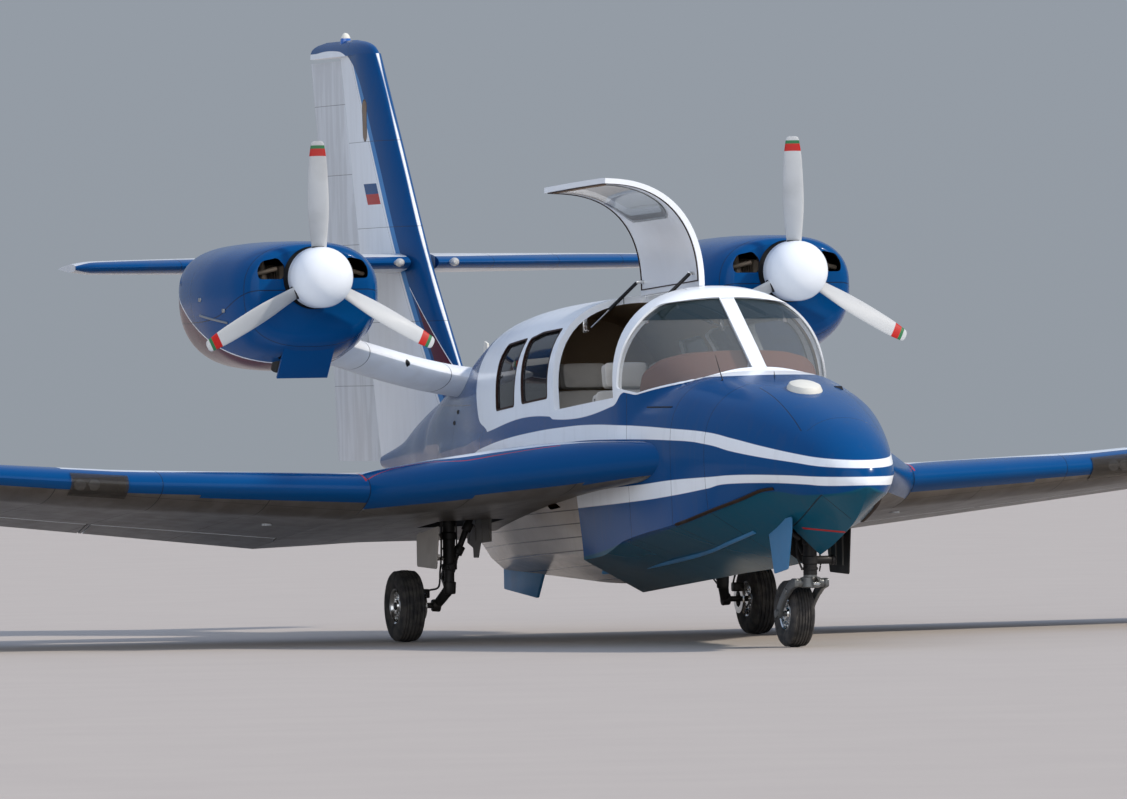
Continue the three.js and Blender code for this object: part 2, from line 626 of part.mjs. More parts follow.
// Undercarriage
const tyreProfile = (radius, width, rim) => [
  [rim, -width * 0.4], [radius * 0.82, -width / 2], [radius * 0.95, -width * 0.42], [radius, -width * 0.22],
  [radius, width * 0.22], [radius * 0.95, width * 0.42], [radius * 0.82, width / 2], [rim, width * 0.4],
  [rim, -width * 0.4],
];
const rimProfile = (rim, width) => [
  [18, -width * 0.4], [rim * 0.55, -width * 0.34], [rim - gap, -width * 0.42], [rim - gap, width * 0.42],
  [rim * 0.55, width * 0.34], [18, width * 0.4], [18, -width * 0.4],
];
const onAxle = (profile, { x = 0, y, radius }) => turnedAboutX(profile, x, y, radius, 32);
const tyreOf = (wheel) => onAxle(tyreProfile(wheel.radius, wheel.width, wheel.rim), wheel);
const rimOf = (wheel) => onAxle(rimProfile(wheel.rim, wheel.width), wheel);

const legTop = mainBayRoof - gap;
const portMainLeg = joined(
  bar([mainLeg.x, mainLeg.y, legTop], [mainLeg.x, mainLeg.y, 430], 48, 48, 14),
  bar([mainLeg.x, mainLeg.y, 440], [mainLeg.x, mainLeg.y, mainLeg.footZ], 36, 36, 14),
  bar([mainLeg.x, mainLeg.y, mainLeg.footZ],
    [mainLeg.x + 60, mainWheel.y, mainWheel.radius], 40, 32, 12),
  bar([mainLeg.x + 55, mainWheel.y, mainWheel.radius],
    [mainWheel.x + 30, mainWheel.y, mainWheel.radius], 17, 17, 14),
  bar([mainLeg.x - 150, mainLeg.y, legTop - 20], [mainLeg.x - 20, mainLeg.y, 455], 26, 22, 10),
);
const legDoor = joined(
  sidePlate([[4925, 700], [5375, 645], [5375, 452], [4985, 440]], mainLeg.x + 128, mainLeg.x + 140),
  ...[500, 640].map((z) => bar([mainLeg.x, mainLeg.y, z], [mainLeg.x + 134, mainLeg.y, z], 11, 11, 10)));
const portBayDoor = sidePlate([
  [4938, legTop], [5412, legTop], [5412, 590], [5300, 560], [5290, 500], [5200, 500], [5150, 590],
  [4938, 600]], 662, 674);

const noseStrut = joined(
  bar([0, noseLeg.y, 759], [0, noseLeg.y, 420], 46, 46, 16),
  bar([-30, noseLeg.y - 10, 505], [150, noseLeg.y - 10, 505], 24, 24, 12),
);
const noseFork = joined(
  bar([0, noseLeg.y, 419.4], [0, noseLeg.y, noseLeg.footZ], 42, 42, 16),
  block([-105, 105], [985, 1050], [345, 400]),
  ...[[82, 104], [-104, -82]].map(([inner, outer]) => sidePlate([
    [985, 400], [1050, 400], [1150, 340], [1340, 215], [1340, 170], [1290, 165], [1240, 200], [1090, 300],
    [985, 345]], inner, outer)),
  bar([-104, noseWheel.y, noseWheel.radius], [104, noseWheel.y, noseWheel.radius], 16, 16, 14),
);
const portNoseDoor = sidePlate([[900, 760], [1330, 720], [1310, 560], [1280, 430], [950, 420]], 207, 218)
  .subtract(fuselageClearance);
const starboardNoseDoor = sidePlate(
  [[714, 760], [1130, 720], [1110, 640], [1030, 430], [790, 460], [714, 690]], -218, -207)
  .subtract(fuselageClearance);

const ventralPlate = sidePlate([[5930, 383], [6760, 402], [6760, 283], [6110, 234]], -10, 10)
  .subtract(fuselageClearance);

// Seats and panel
function seatRow(y, half, floor) {
  const seatOutline = [[y, floor], [y + 420, floor], [y + 560, floor + 720], [y + 470, floor + 740],
    [y + 390, floor + 330], [y, floor + 340]];
  const pair = bothSides(sidePlate(seatOutline, 40, half));
  return joined(pair, block([-60, 60], [y + 60, y + 300], [floor, floor + 120]));
}
const seatRows = named(["name", "y", "half"], [
  ["seats_front", 2980, 500],
  ["seats_middle", 3750, 510],
  ["seats_rear", 4520, 470],
]);
const panel = joined(
  block([-480, 480], [2120, 2260], [1150, 1500]),
  block([-60, 60], [2130, 2420], [cabin.floor + 0.5, 1200]),
);

// Gas struts: the cylinder is pinned to the door and the rod's eye meets a pin on the cabin frame
function strutPieces(start, end) {
  const length = start.distanceTo(end);
  const at = (s) => start.clone().lerp(end, s / length).toArray();
  const { eye, cylinder, rod, cylinderLength, rodLength } = strut;
  const bore = bar(at(30), at(eye + cylinderLength + 10), cylinder - 5, cylinder - 5, 12);
  const rodEnd = length - eye - strut.rodRoom;
  return {
    cylinder: bar(at(eye), at(eye + cylinderLength), cylinder, cylinder, 12).subtract(bore),
    rod: bar(at(rodEnd - rodLength), at(rodEnd), rod, rod, 10),
  };
}

const hingeAxis = new THREE.Vector3(0, 1, doorHinge.slope).normalize();
const hingeOrigin = new THREE.Vector3(-doorHinge.x, doorHinge.y, doorHinge.z);
const opened = (point) => point.clone().sub(hingeOrigin).applyAxisAngle(hingeAxis, doorOpen).add(hingeOrigin);

const hullSolid = shell.intersect(block([-900, 900], [-100, cabin.shellEnd], [0, 2500]))
  .subtract(noseBlock).subtract(noseBay);
const underWindscreen = block([-900, 900], [1500, 2700], [1100, 2400]);
const behindWindscreen = block([-900, 900], [2700, 5400], [1200, 2400]);

// Spray rails along the forward chines and strakes on the planing bottom
function rail(rows, radius) {
  const sides = 8;
  return loft(rows.map(({ x, y, z }) => Array.from({ length: sides }, (_, i) => {
    const angle = (2 * Math.PI * (i + 0.5)) / sides;
    return new THREE.Vector3(x + radius * Math.cos(angle), y, z + radius * Math.sin(angle));
  })));
}
const railRows = named(["x", "y", "z"], [
  [334, 670, 918], [425, 1000, 861], [488, 1250, 810], [543, 1560, 748], [568, 1720, 720],
]);
const strakeRows = named(["x", "y", "z"], [
  [267, 1214, 672], [296, 1580, 607], [282, 2168, 533], [307, 3016, 459], [336, 3796, 417],
]);
const rails = bothSides(joined(rail(railRows, 13), rail(strakeRows, 12)));
const hull = hullSolid
  .subtract(canopyLoft(gap).intersect(aboveSill(-gap)).intersect(underWindscreen))
  .subtract(aboveSill(-gap).intersect(behindWindscreen))
  .add(rails);
const aftFuselage = fuselageSolid.intersect(block([-900, 900], [cabin.shellEnd + gap, 9155], [0, 2500]));

// Scene graph
const aircraft = new THREE.Group();
aircraft.position.y = -overallLength / 2;

function place(name, solid, material, parent = aircraft) {
  const mesh = new THREE.Mesh(geometryOf(solid), material);
  mesh.name = name;
  parent.add(mesh);
  return mesh;
}

function placePair(name, portSolid, material) {
  place(`${name}_port`, portSolid, material);
  place(`${name}_starboard`, mirrored(portSolid), material);
}

place("hull", hull, paint.blue);
place("nose_deck", noseDeck, paint.blue);
place("cabin_frame", joined(cabinFrame, bothSides(frameLugs)), paint.white);
place("aft_fuselage", aftFuselage, paint.blue);
placePair("windscreen", portWindscreen, paint.glass);
placePair("rear_glazing", portRearGlass, paint.glass);
placePair("centre_wing", centreWing, paint.blue);
placePair("outer_wing", portOuterWing, paint.blue);
placePair("flap", movingSurface(flapSpan), paint.white);
placePair("aileron", movingSurface(aileronSpan), paint.white);
placePair("cowling", portCowling, paint.blue);
placePair("engine", engineBlock, paint.steel);
placePair("pylon", portPylon, paint.white);
place("propeller_port", propeller, paint.white);
place("propeller_starboard", propeller.translate([-2 * thrust.x, 0, 0]), paint.white);
place("fin", fin, paint.white);
place("rudder", rudder, paint.white);
place("tailplane", tailplane, paint.white);
placePair("main_tyre", tyreOf(mainWheel), paint.rubber);
placePair("main_rim", rimOf(mainWheel), paint.steel);
placePair("main_leg", joined(portMainLeg, legDoor), paint.steel);
placePair("bay_door", portBayDoor, paint.grey);
place("nose_leg", noseStrut, paint.steel);
place("nose_fork", noseFork, paint.grey);
place("nose_tyre", tyreOf(noseWheel), paint.rubber);
place("nose_rim", rimOf(noseWheel), paint.steel);
place("nose_door_port", portNoseDoor, paint.blue);
place("nose_door_starboard", starboardNoseDoor, paint.blue);
place("ventral_plate", ventralPlate, paint.blue);
for (const { name, y, half } of seatRows) {
  place(name, seatRow(y, half, cabin.floor + 0.5), paint.tan);
}
place("instrument_panel", panel, paint.steel);

// Doors: the port one is shut, the starboard one stands open about its roof hinge
place("door_port", portDoor, paint.white);
place("door_glass_port", portDoorGlass, paint.glass);
const openDoor = new THREE.Group();
openDoor.position.copy(hingeOrigin);
openDoor.quaternion.setFromAxisAngle(hingeAxis, doorOpen);
aircraft.add(openDoor);
const shutPlace = hingeOrigin.clone().negate().toArray();
place("door_starboard", mirrored(portDoor).translate(shutPlace), paint.white, openDoor);
place("door_glass_starboard", mirrored(portDoorGlass).translate(shutPlace), paint.glass, openDoor);
for (const [i, y] of strut.stations.entries()) {
  const end = i === 0 ? "front" : "rear";
  const pins = [strut.door, strut.frame].map((pin) => strutPin(pin, y));
  const [portDoorPin, portFramePin] = pins.map(({ x, z }) => new THREE.Vector3(x, y, z));
  const [doorPin, framePin] = pins.map(({ x, z }) => new THREE.Vector3(-x, y, z));
  const shut = strutPieces(portDoorPin, portFramePin);
  const open = strutPieces(opened(doorPin), framePin);
  place(`strut_cylinder_${end}_port`, shut.cylinder, paint.steel);
  place(`strut_rod_${end}_port`, shut.rod, paint.grey);
  place(`strut_cylinder_${end}_starboard`, open.cylinder, paint.steel);
  place(`strut_rod_${end}_starboard`, open.rod, paint.grey);
}

export default aircraft;
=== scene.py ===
import functools
import json
import math

import bmesh
import bpy
from mathutils import Matrix, Vector


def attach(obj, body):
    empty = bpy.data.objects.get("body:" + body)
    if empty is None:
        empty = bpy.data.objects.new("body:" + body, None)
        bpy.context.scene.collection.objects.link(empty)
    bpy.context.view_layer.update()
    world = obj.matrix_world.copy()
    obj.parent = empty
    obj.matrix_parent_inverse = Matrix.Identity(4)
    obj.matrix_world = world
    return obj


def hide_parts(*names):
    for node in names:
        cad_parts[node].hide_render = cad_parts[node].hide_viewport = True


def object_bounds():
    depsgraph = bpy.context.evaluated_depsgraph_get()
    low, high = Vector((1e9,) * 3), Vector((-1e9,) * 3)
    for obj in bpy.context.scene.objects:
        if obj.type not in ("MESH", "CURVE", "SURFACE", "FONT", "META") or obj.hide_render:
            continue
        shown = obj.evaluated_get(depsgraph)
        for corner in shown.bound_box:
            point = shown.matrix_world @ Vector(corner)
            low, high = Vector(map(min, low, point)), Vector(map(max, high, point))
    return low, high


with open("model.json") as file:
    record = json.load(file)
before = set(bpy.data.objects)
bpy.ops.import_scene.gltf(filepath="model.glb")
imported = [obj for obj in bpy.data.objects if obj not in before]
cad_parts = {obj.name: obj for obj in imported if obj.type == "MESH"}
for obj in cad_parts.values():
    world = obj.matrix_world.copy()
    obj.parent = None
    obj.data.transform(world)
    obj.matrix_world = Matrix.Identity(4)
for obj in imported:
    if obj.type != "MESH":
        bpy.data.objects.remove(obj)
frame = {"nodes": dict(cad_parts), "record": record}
boxLow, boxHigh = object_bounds()
noseY = boxLow.y  # stations below are metres aft of the nose tip
print("frame loaded", len(frame["nodes"]), "nodes")


def newObject(name, data):
    thing = bpy.data.objects.new(name, data)
    bpy.context.scene.collection.objects.link(thing)
    return thing


def meshData(mesh, name):
    data = bpy.data.meshes.new(name)
    mesh.to_mesh(data)
    mesh.free()
    return data


# Camera
cameraSettings = {
    "turn": 18.08,  # degrees round to starboard
    "distance": 80.0,
    "aimStation": 5.4,
    "height": 1.546,
    "sideways": 0.044,
    "focalPixels": 13177.0,
    "horizonRow": 383.1,
    "roll": 0.95,
    "photoWidth": 1127,
    "photoHeight": 799,
}


def addCamera(settings):
    turn = math.radians(settings["turn"])
    ahead = Vector((math.sin(turn), math.cos(turn), 0))
    right = Vector((math.cos(turn), -math.sin(turn), 0))
    camera = newObject("camera", bpy.data.cameras.new("camera"))
    aim = Vector((0, noseY + settings["aimStation"], settings["height"]))
    camera.data.sensor_width = 36
    camera.data.lens = 36 * settings["focalPixels"] / settings["photoWidth"]
    camera.data.clip_end = 400
    tilt = math.atan((settings["photoHeight"] / 2 - settings["horizonRow"]) / settings["focalPixels"])
    facing = Matrix.Rotation(-tilt, 3, right) @ ahead
    up = right.cross(facing)
    spin = Matrix.Rotation(math.radians(settings["roll"]), 3, facing)
    right, up = (spin @ right), (spin @ up)
    turned = Matrix((right, up, -facing)).transposed().to_4x4()
    place = aim - ahead * settings["distance"] - right * settings["sideways"]
    camera.matrix_world = Matrix.Translation(place) @ turned
    bpy.context.scene.camera = camera


addCamera(cameraSettings)


tree = None  # the node tree that the helpers below add to


def makeNodes(name):
    global tree
    material = bpy.data.materials.new(name)
    material.use_nodes = True
    tree = material.node_tree
    return material, tree.nodes["Principled BSDF"]


def link(value, socket):
    if isinstance(value, bpy.types.NodeSocket):
        tree.links.new(value, socket)
    else:
        socket.default_value = value


def fill(node, values):
    for name, value in values.items():
        link(value, node.inputs[name])


def addNode(kind, values, **fields):
    node = tree.nodes.new("ShaderNode" + kind)
    for field, value in fields.items():
        setattr(node, field, value)
    fill(node, values)
    return node


def calc(operation, *values):
    return addNode("Math", dict(enumerate(values)), operation=operation).outputs[0]


def minus(first, second):
    return calc("SUBTRACT", first, second)


def times(first, second):
    return calc("MULTIPLY", first, second)


def sized(value):
    return calc("ABSOLUTE", value)


def place():
    spot = addNode("TexCoord", {}).outputs["Object"]
    return spot, addNode("SeparateXYZ", {0: spot}).outputs


def rise(value, edge, soft=0.002):
    return addNode("MapRange", {"Value": value, "From Min": edge - soft, "From Max": edge + soft},
                   interpolation_type="SMOOTHSTEP").outputs["Result"]


def curveOf(value, points):
    lowest, highest = points[0][0], points[-1][0]
    low, high = min(p[1] for p in points), max(p[1] for p in points)
    share = addNode("MapRange", {"Value": value, "From Min": lowest, "From Max": highest}).outputs["Result"]
    node = addNode("FloatCurve", {"Value": share})
    line = node.mapping.curves[0]
    spots = [((at - lowest) / (highest - lowest), (level - low) / (high - low)) for at, level in points]
    line.points[0].location, line.points[1].location = spots[0], spots[-1]
    for spot in spots[1:-1]:
        line.points.new(*spot)
    node.mapping.update()
    return calc("MULTIPLY_ADD", node.outputs["Value"], high - low, low)


def blendColour(factor, first, second):
    return addNode("Mix", {"Factor": factor, "A": first, "B": second}, data_type="RGBA").outputs["Result"]


def noise(scale, detail=4.0, where=None):
    return addNode("TexNoise", {"Scale": scale, "Detail": detail, "Vector": where or place()[0]}).outputs["Fac"]


def bump(shader, height, distance, strength=1.0):
    node = addNode("Bump", {"Distance": distance, "Strength": strength, "Height": height})
    link(node.outputs["Normal"], shader.inputs["Normal"])


def colour(red, green, blue):
    return (red, green, blue, 1.0)


finish = {
    "blue": colour(0.0006, 0.06, 0.2),
    "paleBlue": colour(0.05, 0.22, 0.5),
    # the hull-bottom blue, darkened: painted shade for the downward faces
    "shadedBottomBlue": colour(0.002, 0.08, 0.135),
    # the hull-bottom blue, lightened: painted light for side-facing plates
    "litBottomBlue": colour(0.055, 0.2, 0.38),
    # light grey plating with a painted warm reflection of the ground
    "silverAndGroundReflection": colour(0.52, 0.455, 0.39),
    "white": colour(0.82, 0.85, 0.88),
    "metal": colour(0.33, 0.34, 0.35),
    "grime": colour(0.1, 0.085, 0.07),
    "red": colour(0.45, 0.02, 0.015),
    "maroon": colour(0.09, 0.012, 0.03),
    "tan": colour(0.33, 0.2, 0.11),
    "black": colour(0.012, 0.012, 0.013),
}


def worn(shade, grime=0.25, scale=3.0):
    patches = noise(scale, 6.0)
    amount = times(rise(patches, 0.62, 0.12), grime)
    return blendColour(amount, shade, finish["grime"])


def gloss(shader, low=0.18, high=0.34, scale=9.0):
    node = addNode("MapRange", {"Value": noise(scale, 5.0), "To Min": low, "To Max": high})
    link(node.outputs["Result"], shader.inputs["Roughness"])


def topCoat(shader, shade, coat, low, high, metallic=0.0):
    fill(shader, {"Base Color": shade, "Specular IOR Level": 0.1, "Coat Weight": coat, "Coat Roughness": 0.08,
                  "Metallic": metallic})
    gloss(shader, low, high)


def paintedMaterial(name, shade, metallic=0.0, low=0.14, high=0.26, coat=0.05, grime=0.2):
    material, shader = makeNodes(name)
    topCoat(shader, worn(shade, grime), coat, low, high, metallic)
    bump(shader, noise(2.2, 2.0), 0.0001, 0.6)
    return material


def below(value, edge, soft=0.002):
    return minus(1.0, rise(value, edge, soft))


def within(value, low, high, soft=0.002):
    return times(rise(value, low, soft), below(value, high, soft))


def either(*masks):
    return functools.reduce(lambda whole, mask: calc("MAXIMUM", whole, mask), masks)


def both(*masks):
    return functools.reduce(times, masks)


def seams(value, spots, half=0.0025):
    return either(*[within(value, at - half, at + half, 0.001) for at in spots])


def streaks(scale, stretch):
    node = addNode("Mapping", {"Scale": stretch, "Vector": place()[0]})
    return noise(scale, 5.0, node.outputs["Vector"])


def paintOf(name, design):
    material, shader = makeNodes(name)
    x, y, z = place()[1]
    finished(shader, *design(sized(x), minus(y, noseY), z))
    return material


def finished(shader, shade, grooves=None, grime=0.2, low=0.14, high=0.24, coat=0.05, metallic=0.0):
    shade = worn(shade, grime)
    height = times(noise(2.2, 2.0), 0.00004)
    if grooves is not None:
        shade = blendColour(times(grooves, 0.75), shade, finish["black"])
        height = minus(height, times(grooves, 0.0012))
    topCoat(shader, shade, coat, low, high, metallic)
    bump(shader, height, 1.0)


def layered(shade, *layers):
    for mask, over in layers:
        shade = blendColour(mask, shade, over)
    return shade


def washed(shade, scale, stretch, soft, amount, runs=0.5):
    mask = rise(streaks(scale, stretch), runs, soft)
    return blendColour(times(mask, amount), shade, finish["grime"])


bluePaint = paintedMaterial("bluePaint", finish["blue"], grime=0.05)
whitePaint = paintedMaterial("whitePaint", finish["white"], grime=0.04)
bareMetal = paintedMaterial("bareMetal", finish["metal"], 0.85, 0.32, 0.5, 0.0, 0.35)
brightMetal = paintedMaterial("brightMetal", colour(0.62, 0.62, 0.61), 1.0, 0.14, 0.25, 0.0, 0.1)
gearMetal = paintedMaterial("gearMetal", colour(0.035, 0.034, 0.034), 0.5, 0.35, 0.6, 0.0, 0.6)
# near-black for hollow insides (cowl walls, intakes, spinner seat, cowl-flap opening, the fin's hinge cut): painted
# shade
recessShade = paintedMaterial("recessShade", colour(0.015, 0.015, 0.016), 0.0, 0.5, 0.8, 0.0, 0.3)
plastic = paintedMaterial("plastic", colour(0.02, 0.02, 0.022), 0.0, 0.4, 0.6, 0.0, 0.1)
sealRubber = paintedMaterial("sealRubber", colour(0.035, 0.018, 0.014), 0.0, 0.5, 0.7, 0.0, 0.2)
liner = paintedMaterial("liner", colour(0.42, 0.31, 0.2), 0.0, 0.7, 0.9, 0.0, 0.2)
tanTrim = paintedMaterial("tanTrim", colour(0.3, 0.19, 0.11), 0.0, 0.6, 0.8, 0.0, 0.2)
strutBlack = paintedMaterial("strutBlack", colour(0.012, 0.012, 0.013), 0.0, 0.25, 0.35, 0.3, 0.1)
antennaWhite = paintedMaterial("antennaWhite", colour(0.72, 0.7, 0.62), 0.0, 0.35, 0.5, 0.0, 0.15)


# Fuselage: columns are station, keel, chine half-width and height, waist half-width and height, crown, roundness
hull = {
    "fore": [
        (0.0, 0.925, 0.008, 0.93, 0.01, 0.945, 0.962, 2.0),
        (0.025, 0.885, 0.062, 0.9, 0.08, 0.955, 1.035, 2.0),
        (0.09, 0.818, 0.125, 0.89, 0.155, 0.97, 1.12, 2.0),
        (0.22, 0.735, 0.19, 0.885, 0.235, 0.99, 1.222, 2.1),
        (0.4, 0.665, 0.255, 0.895, 0.298, 1.01, 1.315, 2.2),
        (0.7, 0.57, 0.34, 0.918, 0.388, 1.03, 1.42, 2.4),
        (1.0, 0.505, 0.425, 0.865, 0.463, 1.05, 1.495, 2.6),
        (1.4, 0.466, 0.52, 0.78, 0.54, 1.09, 1.555, 2.7),
        (1.83, 0.44, 0.59, 0.705, 0.6, 1.15, 1.603, 2.8),
        (2.15, 0.422, 0.605, 0.67, 0.618, 1.17, 1.59, 2.8),
        (2.45, 0.4, 0.61, 0.635, 0.632, 1.19, 1.55, 2.8),
        (2.7, 0.383, 0.612, 0.6, 0.64, 1.2, 1.44, 2.8),
        (3.35, 0.338, 0.612, 0.525, 0.655, 1.2, 1.38, 2.6),
        (4.07, 0.288, 0.6, 0.5, 0.662, 1.2, 1.34, 2.6),
    ],
    "after": [
        (4.07, 0.338, 0.575, 0.52917, 0.662, 1.2, 1.34, 2.6),
        (4.65, 0.34, 0.48, 0.525, 0.655, 1.2, 1.34, 2.6),
        (5.3, 0.358, 0.37, 0.515, 0.605, 1.18, 1.34, 2.4),
        (5.9, 0.376, 0.26, 0.5, 0.525, 1.15, 1.3, 2.2),
        (6.5, 0.39, 0.145, 0.485, 0.44, 1.13, 1.25, 2.0),
        (6.8, 0.398, 0.08, 0.475, 0.405, 1.12, 1.23, 2.0),
    ],
    "stepStation": 4.07,
    "stepShift": 0.72,
    "stepReach": (2.6, 5.6),
    "beam": 0.612,
}


# Fuselage paint: curves of height against station, in metres
stripes = {
    "upperTop": [(0.0, 1.076), (0.2, 1.095), (0.43, 1.124), (0.73, 1.167), (1.05, 1.215), (1.35, 1.252),
                 (1.64, 1.268), (2.48, 1.294), (2.98, 1.299), (3.56, 1.284), (4.15, 1.255), (4.79, 1.207),
                 (5.6, 1.13), (6.6, 1.02)],
    "upperBottom": [(0.0, 1.034), (0.18, 1.047), (0.41, 1.072), (0.72, 1.103), (1.03, 1.139), (1.34, 1.183),
                    (1.63, 1.202), (2.8, 1.211), (3.56, 1.193), (4.37, 1.163), (5.2, 1.1), (6.6, 0.96)],
    "lowerTop": [(0.0, 0.986), (0.17, 0.989), (0.53, 1.0), (0.94, 1.003), (1.3, 0.991), (1.64, 0.979),
                 (2.4, 0.94), (6.6, 0.82)],
    "lowerBottom": [(0.0, 0.938), (0.12, 0.937), (0.36, 0.948), (0.68, 0.956), (1.08, 0.952), (1.31, 0.926),
                    (1.92, 0.872), (2.54, 0.84), (3.64, 0.796), (6.6, 0.7)],
    "bellyTop": [(2.6, 0.96), (4.0, 0.9), (5.6, 0.84), (6.4, 0.8), (7.45, 0.86), (9.155, 1.04)],
    "cabinLow": [(1.35, 1.6), (1.54, 1.576), (1.81, 1.567), (2.12, 1.537), (2.47, 1.484), (2.62, 1.405),
                 (3.71, 1.333), (3.79, 1.35), (5.18, 1.256), (5.6, 1.22)],
    "cabinRear": [(1.2, 5.1), (1.257, 5.13), (1.332, 5.35), (1.432, 5.41), (1.7, 5.5), (2.0, 5.56)],
    "chine": [(0.0, 0.93), (0.4, 0.885), (0.7, 0.905), (1.0, 0.855), (1.4, 0.77), (1.83, 0.695), (2.45, 0.625),
              (3.35, 0.52), (4.07, 0.49), (9.2, 0.45)],
}
bowPanel = {
    "edge": (-0.309, 0.958),  # slope and height at the nose of the line on each side of the bow
    "edgeReach": (0.236, 0.858),
    "frontReach": (0.744, 0.885),
    "red": (0.066, 0.643),
    "redReach": (0.39, 0.752),
}
fuselageJoints = {
    "rings": [1.335, 1.755, 2.43, 5.62, 6.33, 7.05, 7.8, 8.52],
    "levels": [0.8, 1.42],
    "planks": [0.5, 0.58, 0.66, 0.74, 0.82, 0.9],
}


def fuselageDesign(side, station, z):

    def over(name):
        return rise(minus(z, curveOf(station, stripes[name])), 0.0)

    upper = minus(over("upperBottom"), over("upperTop"))
    lower = minus(over("lowerBottom"), over("lowerTop"))
    rear = below(minus(station, curveOf(z, stripes["cabinRear"])), 0.0)
    cabin = both(over("cabinLow"), rear, rise(station, 1.5))
    bottom = below(minus(z, curveOf(station, stripes["chine"])), 0.0, 0.006)
    # the hull bottom below the chine takes the darker copy of its blue: painted shade, with random tone
    underside = blendColour(noise(5.0), finish["shadedBottomBlue"], colour(0.008, 0.085, 0.14))
    # grey veil on the blue aft of station 5.6: partly dust, partly a painted greyish sheen
    dustAndSheen = both(rise(station, 5.6, 0.8), rise(streaks(3.0, (1, 1, 4)), 0.45, 0.2))
    blue = blendColour(times(dustAndSheen, 0.04), finish["blue"], colour(0.25, 0.27, 0.3))
    sweep = times(calc("MINIMUM", calc("DIVIDE", side, hull["beam"]), 1.0), hull["stepShift"])
    behindStep = rise(calc("ADD", station, sweep), hull["stepStation"] + 0.004, 0.001)
    belly = both(behindStep, minus(1.0, over("bellyTop")))
    stains = rise(streaks(4.0, (1, 0.25, 1)), 0.5, 0.15)
    # the afterbody plating: silver whose warm tone is partly a painted reflection of the ground, with real stains
    plating = blendColour(times(stains, 0.5), finish["silverAndGroundReflection"], colour(0.27, 0.24, 0.21))
    runs = both(rise(streaks(14.0, (1, 1, 0.12)), 0.6, 0.06), below(z, 1.5, 0.3), 0.05)
    hatch = both(either(seams(station, (0.42, 1.18)), seams(side, (0.235,))),
                 within(station, 0.42, 1.18), below(side, 0.2375), rise(z, 1.25))
    levels = both(seams(z, fuselageJoints["levels"]), rise(station, 5.62))
    spine = both(seams(side, (0.19,)), rise(station, 2.6), rise(z, 1.5), below(station, 5.6))
    bow = minus(z, calc("MULTIPLY_ADD", station, *bowPanel["edge"]))
    bowLine = either(both(within(bow, -0.003, 0.003, 0.001), within(station, *bowPanel["edgeReach"])),
                     both(seams(station, bowPanel["edgeReach"][:1]), within(z, *bowPanel["frontReach"])))
    red = minus(z, calc("MULTIPLY_ADD", station, *bowPanel["red"]))
    redLine = both(within(red, -0.005, 0.005), within(station, *bowPanel["redReach"]))
    shade = layered(blue, (bottom, underside), (either(upper, lower), finish["white"]), (belly, plating),
                    (cabin, finish["white"]), (runs, finish["grime"]), (redLine, finish["red"]))
    planks = calc("MULTIPLY_ADD", station, 0.03, z)
    planks = both(belly, seams(planks, fuselageJoints["planks"], 0.003))
    grooves = either(seams(station, fuselageJoints["rings"], 0.002), hatch, levels, spine, planks, bowLine)
    return shade, grooves, 0.04


fuselagePaint = paintOf("fuselagePaint", fuselageDesign)


wingPaintSettings = {
    "leadingEdge": [(0.38, 1.56), (0.62, 1.94), (1.0, 2.61), (1.3, 3.17), (1.71, 4.01), (3.05, 4.54), (6.25, 5.73),
                    (6.36, 5.86)],
    "blueDepth": [(0.38, 0.22), (1.0, 0.22), (1.71, 0.17), (1.75, 0.15), (3.4, 0.13), (3.41, 0.34), (6.36, 0.24)],
    "rootLine": [(0.95, 0.19), (1.71, 0.05)],
    "jointLevel": 0.985,
}


def wingDesign(side, station, z):
    back = minus(station, curveOf(side, wingPaintSettings["leadingEdge"]))
    pale = minus(back, curveOf(side, wingPaintSettings["blueDepth"]))
    walkway = minus(station, curveOf(side, [(0.5, 4.6), (1.0, 4.75), (1.6, 5.35)]))
    redLine = both(within(walkway, -0.007, 0.007), below(side, 1.7), rise(side, 1.02))
    joint = both(within(side, 1.722, 1.731, 0.001), below(station, 4.6), rise(z, wingPaintSettings["jointLevel"]))
    rootLine = minus(back, curveOf(side, wingPaintSettings["rootLine"]))
    rootLine = both(within(rootLine, -0.005, 0.005), within(side, 0.95, 1.72), rise(z, 0.96))
    shade = blendColour(rise(pale, 0.0), finish["blue"], colour(0.66, 0.71, 0.76))
    shade = blendColour(either(redLine, rootLine, joint), shade, finish["red"])
    ribs = seams(side, (1.712, 2.86, 4.02, 5.15, 6.12), 0.002)
    spars = seams(minus(station, times(side, 0.3)), (4.15, 4.62), 0.0015)
    return shade, either(ribs, both(spars, rise(side, 1.71))), 0.03


def undersideDesign(side, station, z):
    runs = rise(streaks(9.0, (1, 0.12, 1)), 0.5, 0.12)
    shade = layered(colour(0.16, 0.145, 0.13), (noise(2.5), colour(0.28, 0.255, 0.23)),
                    (times(runs, 0.45), colour(0.12, 0.1, 0.08)))
    ribs = seams(side, (0.9, 1.3, 1.712, 2.25, 2.86, 3.45, 4.02, 4.6, 5.15, 5.65, 6.12), 0.0025)
    spars = seams(minus(station, times(side, 0.3)), (3.7, 4.15, 4.62, 5.05), 0.0025)
    return shade, either(ribs, spars), 0.35, 0.3, 0.5, 0.0, 0.7


wingPaint, wingUnderside = paintOf("wingPaint", wingDesign), paintOf("wingUnderside", undersideDesign)


finPaintSettings = {
    "band": 0.3,
    "pale": 0.38,
    "patchBack": (0.45, 0.78),
    "capEdge": [(0.3, 3.4), (0.33, 3.52), (0.42, 3.62), (0.55, 3.675), (0.75, 3.695), (1.2, 3.69)],
    "slot": (9.305, 3.235, 0.08, 0.055),  # station, height, half of the straight part, radius
    "patch": (2.698, 2.765, 2.832, 2.9),  # red, blue and white from below
}


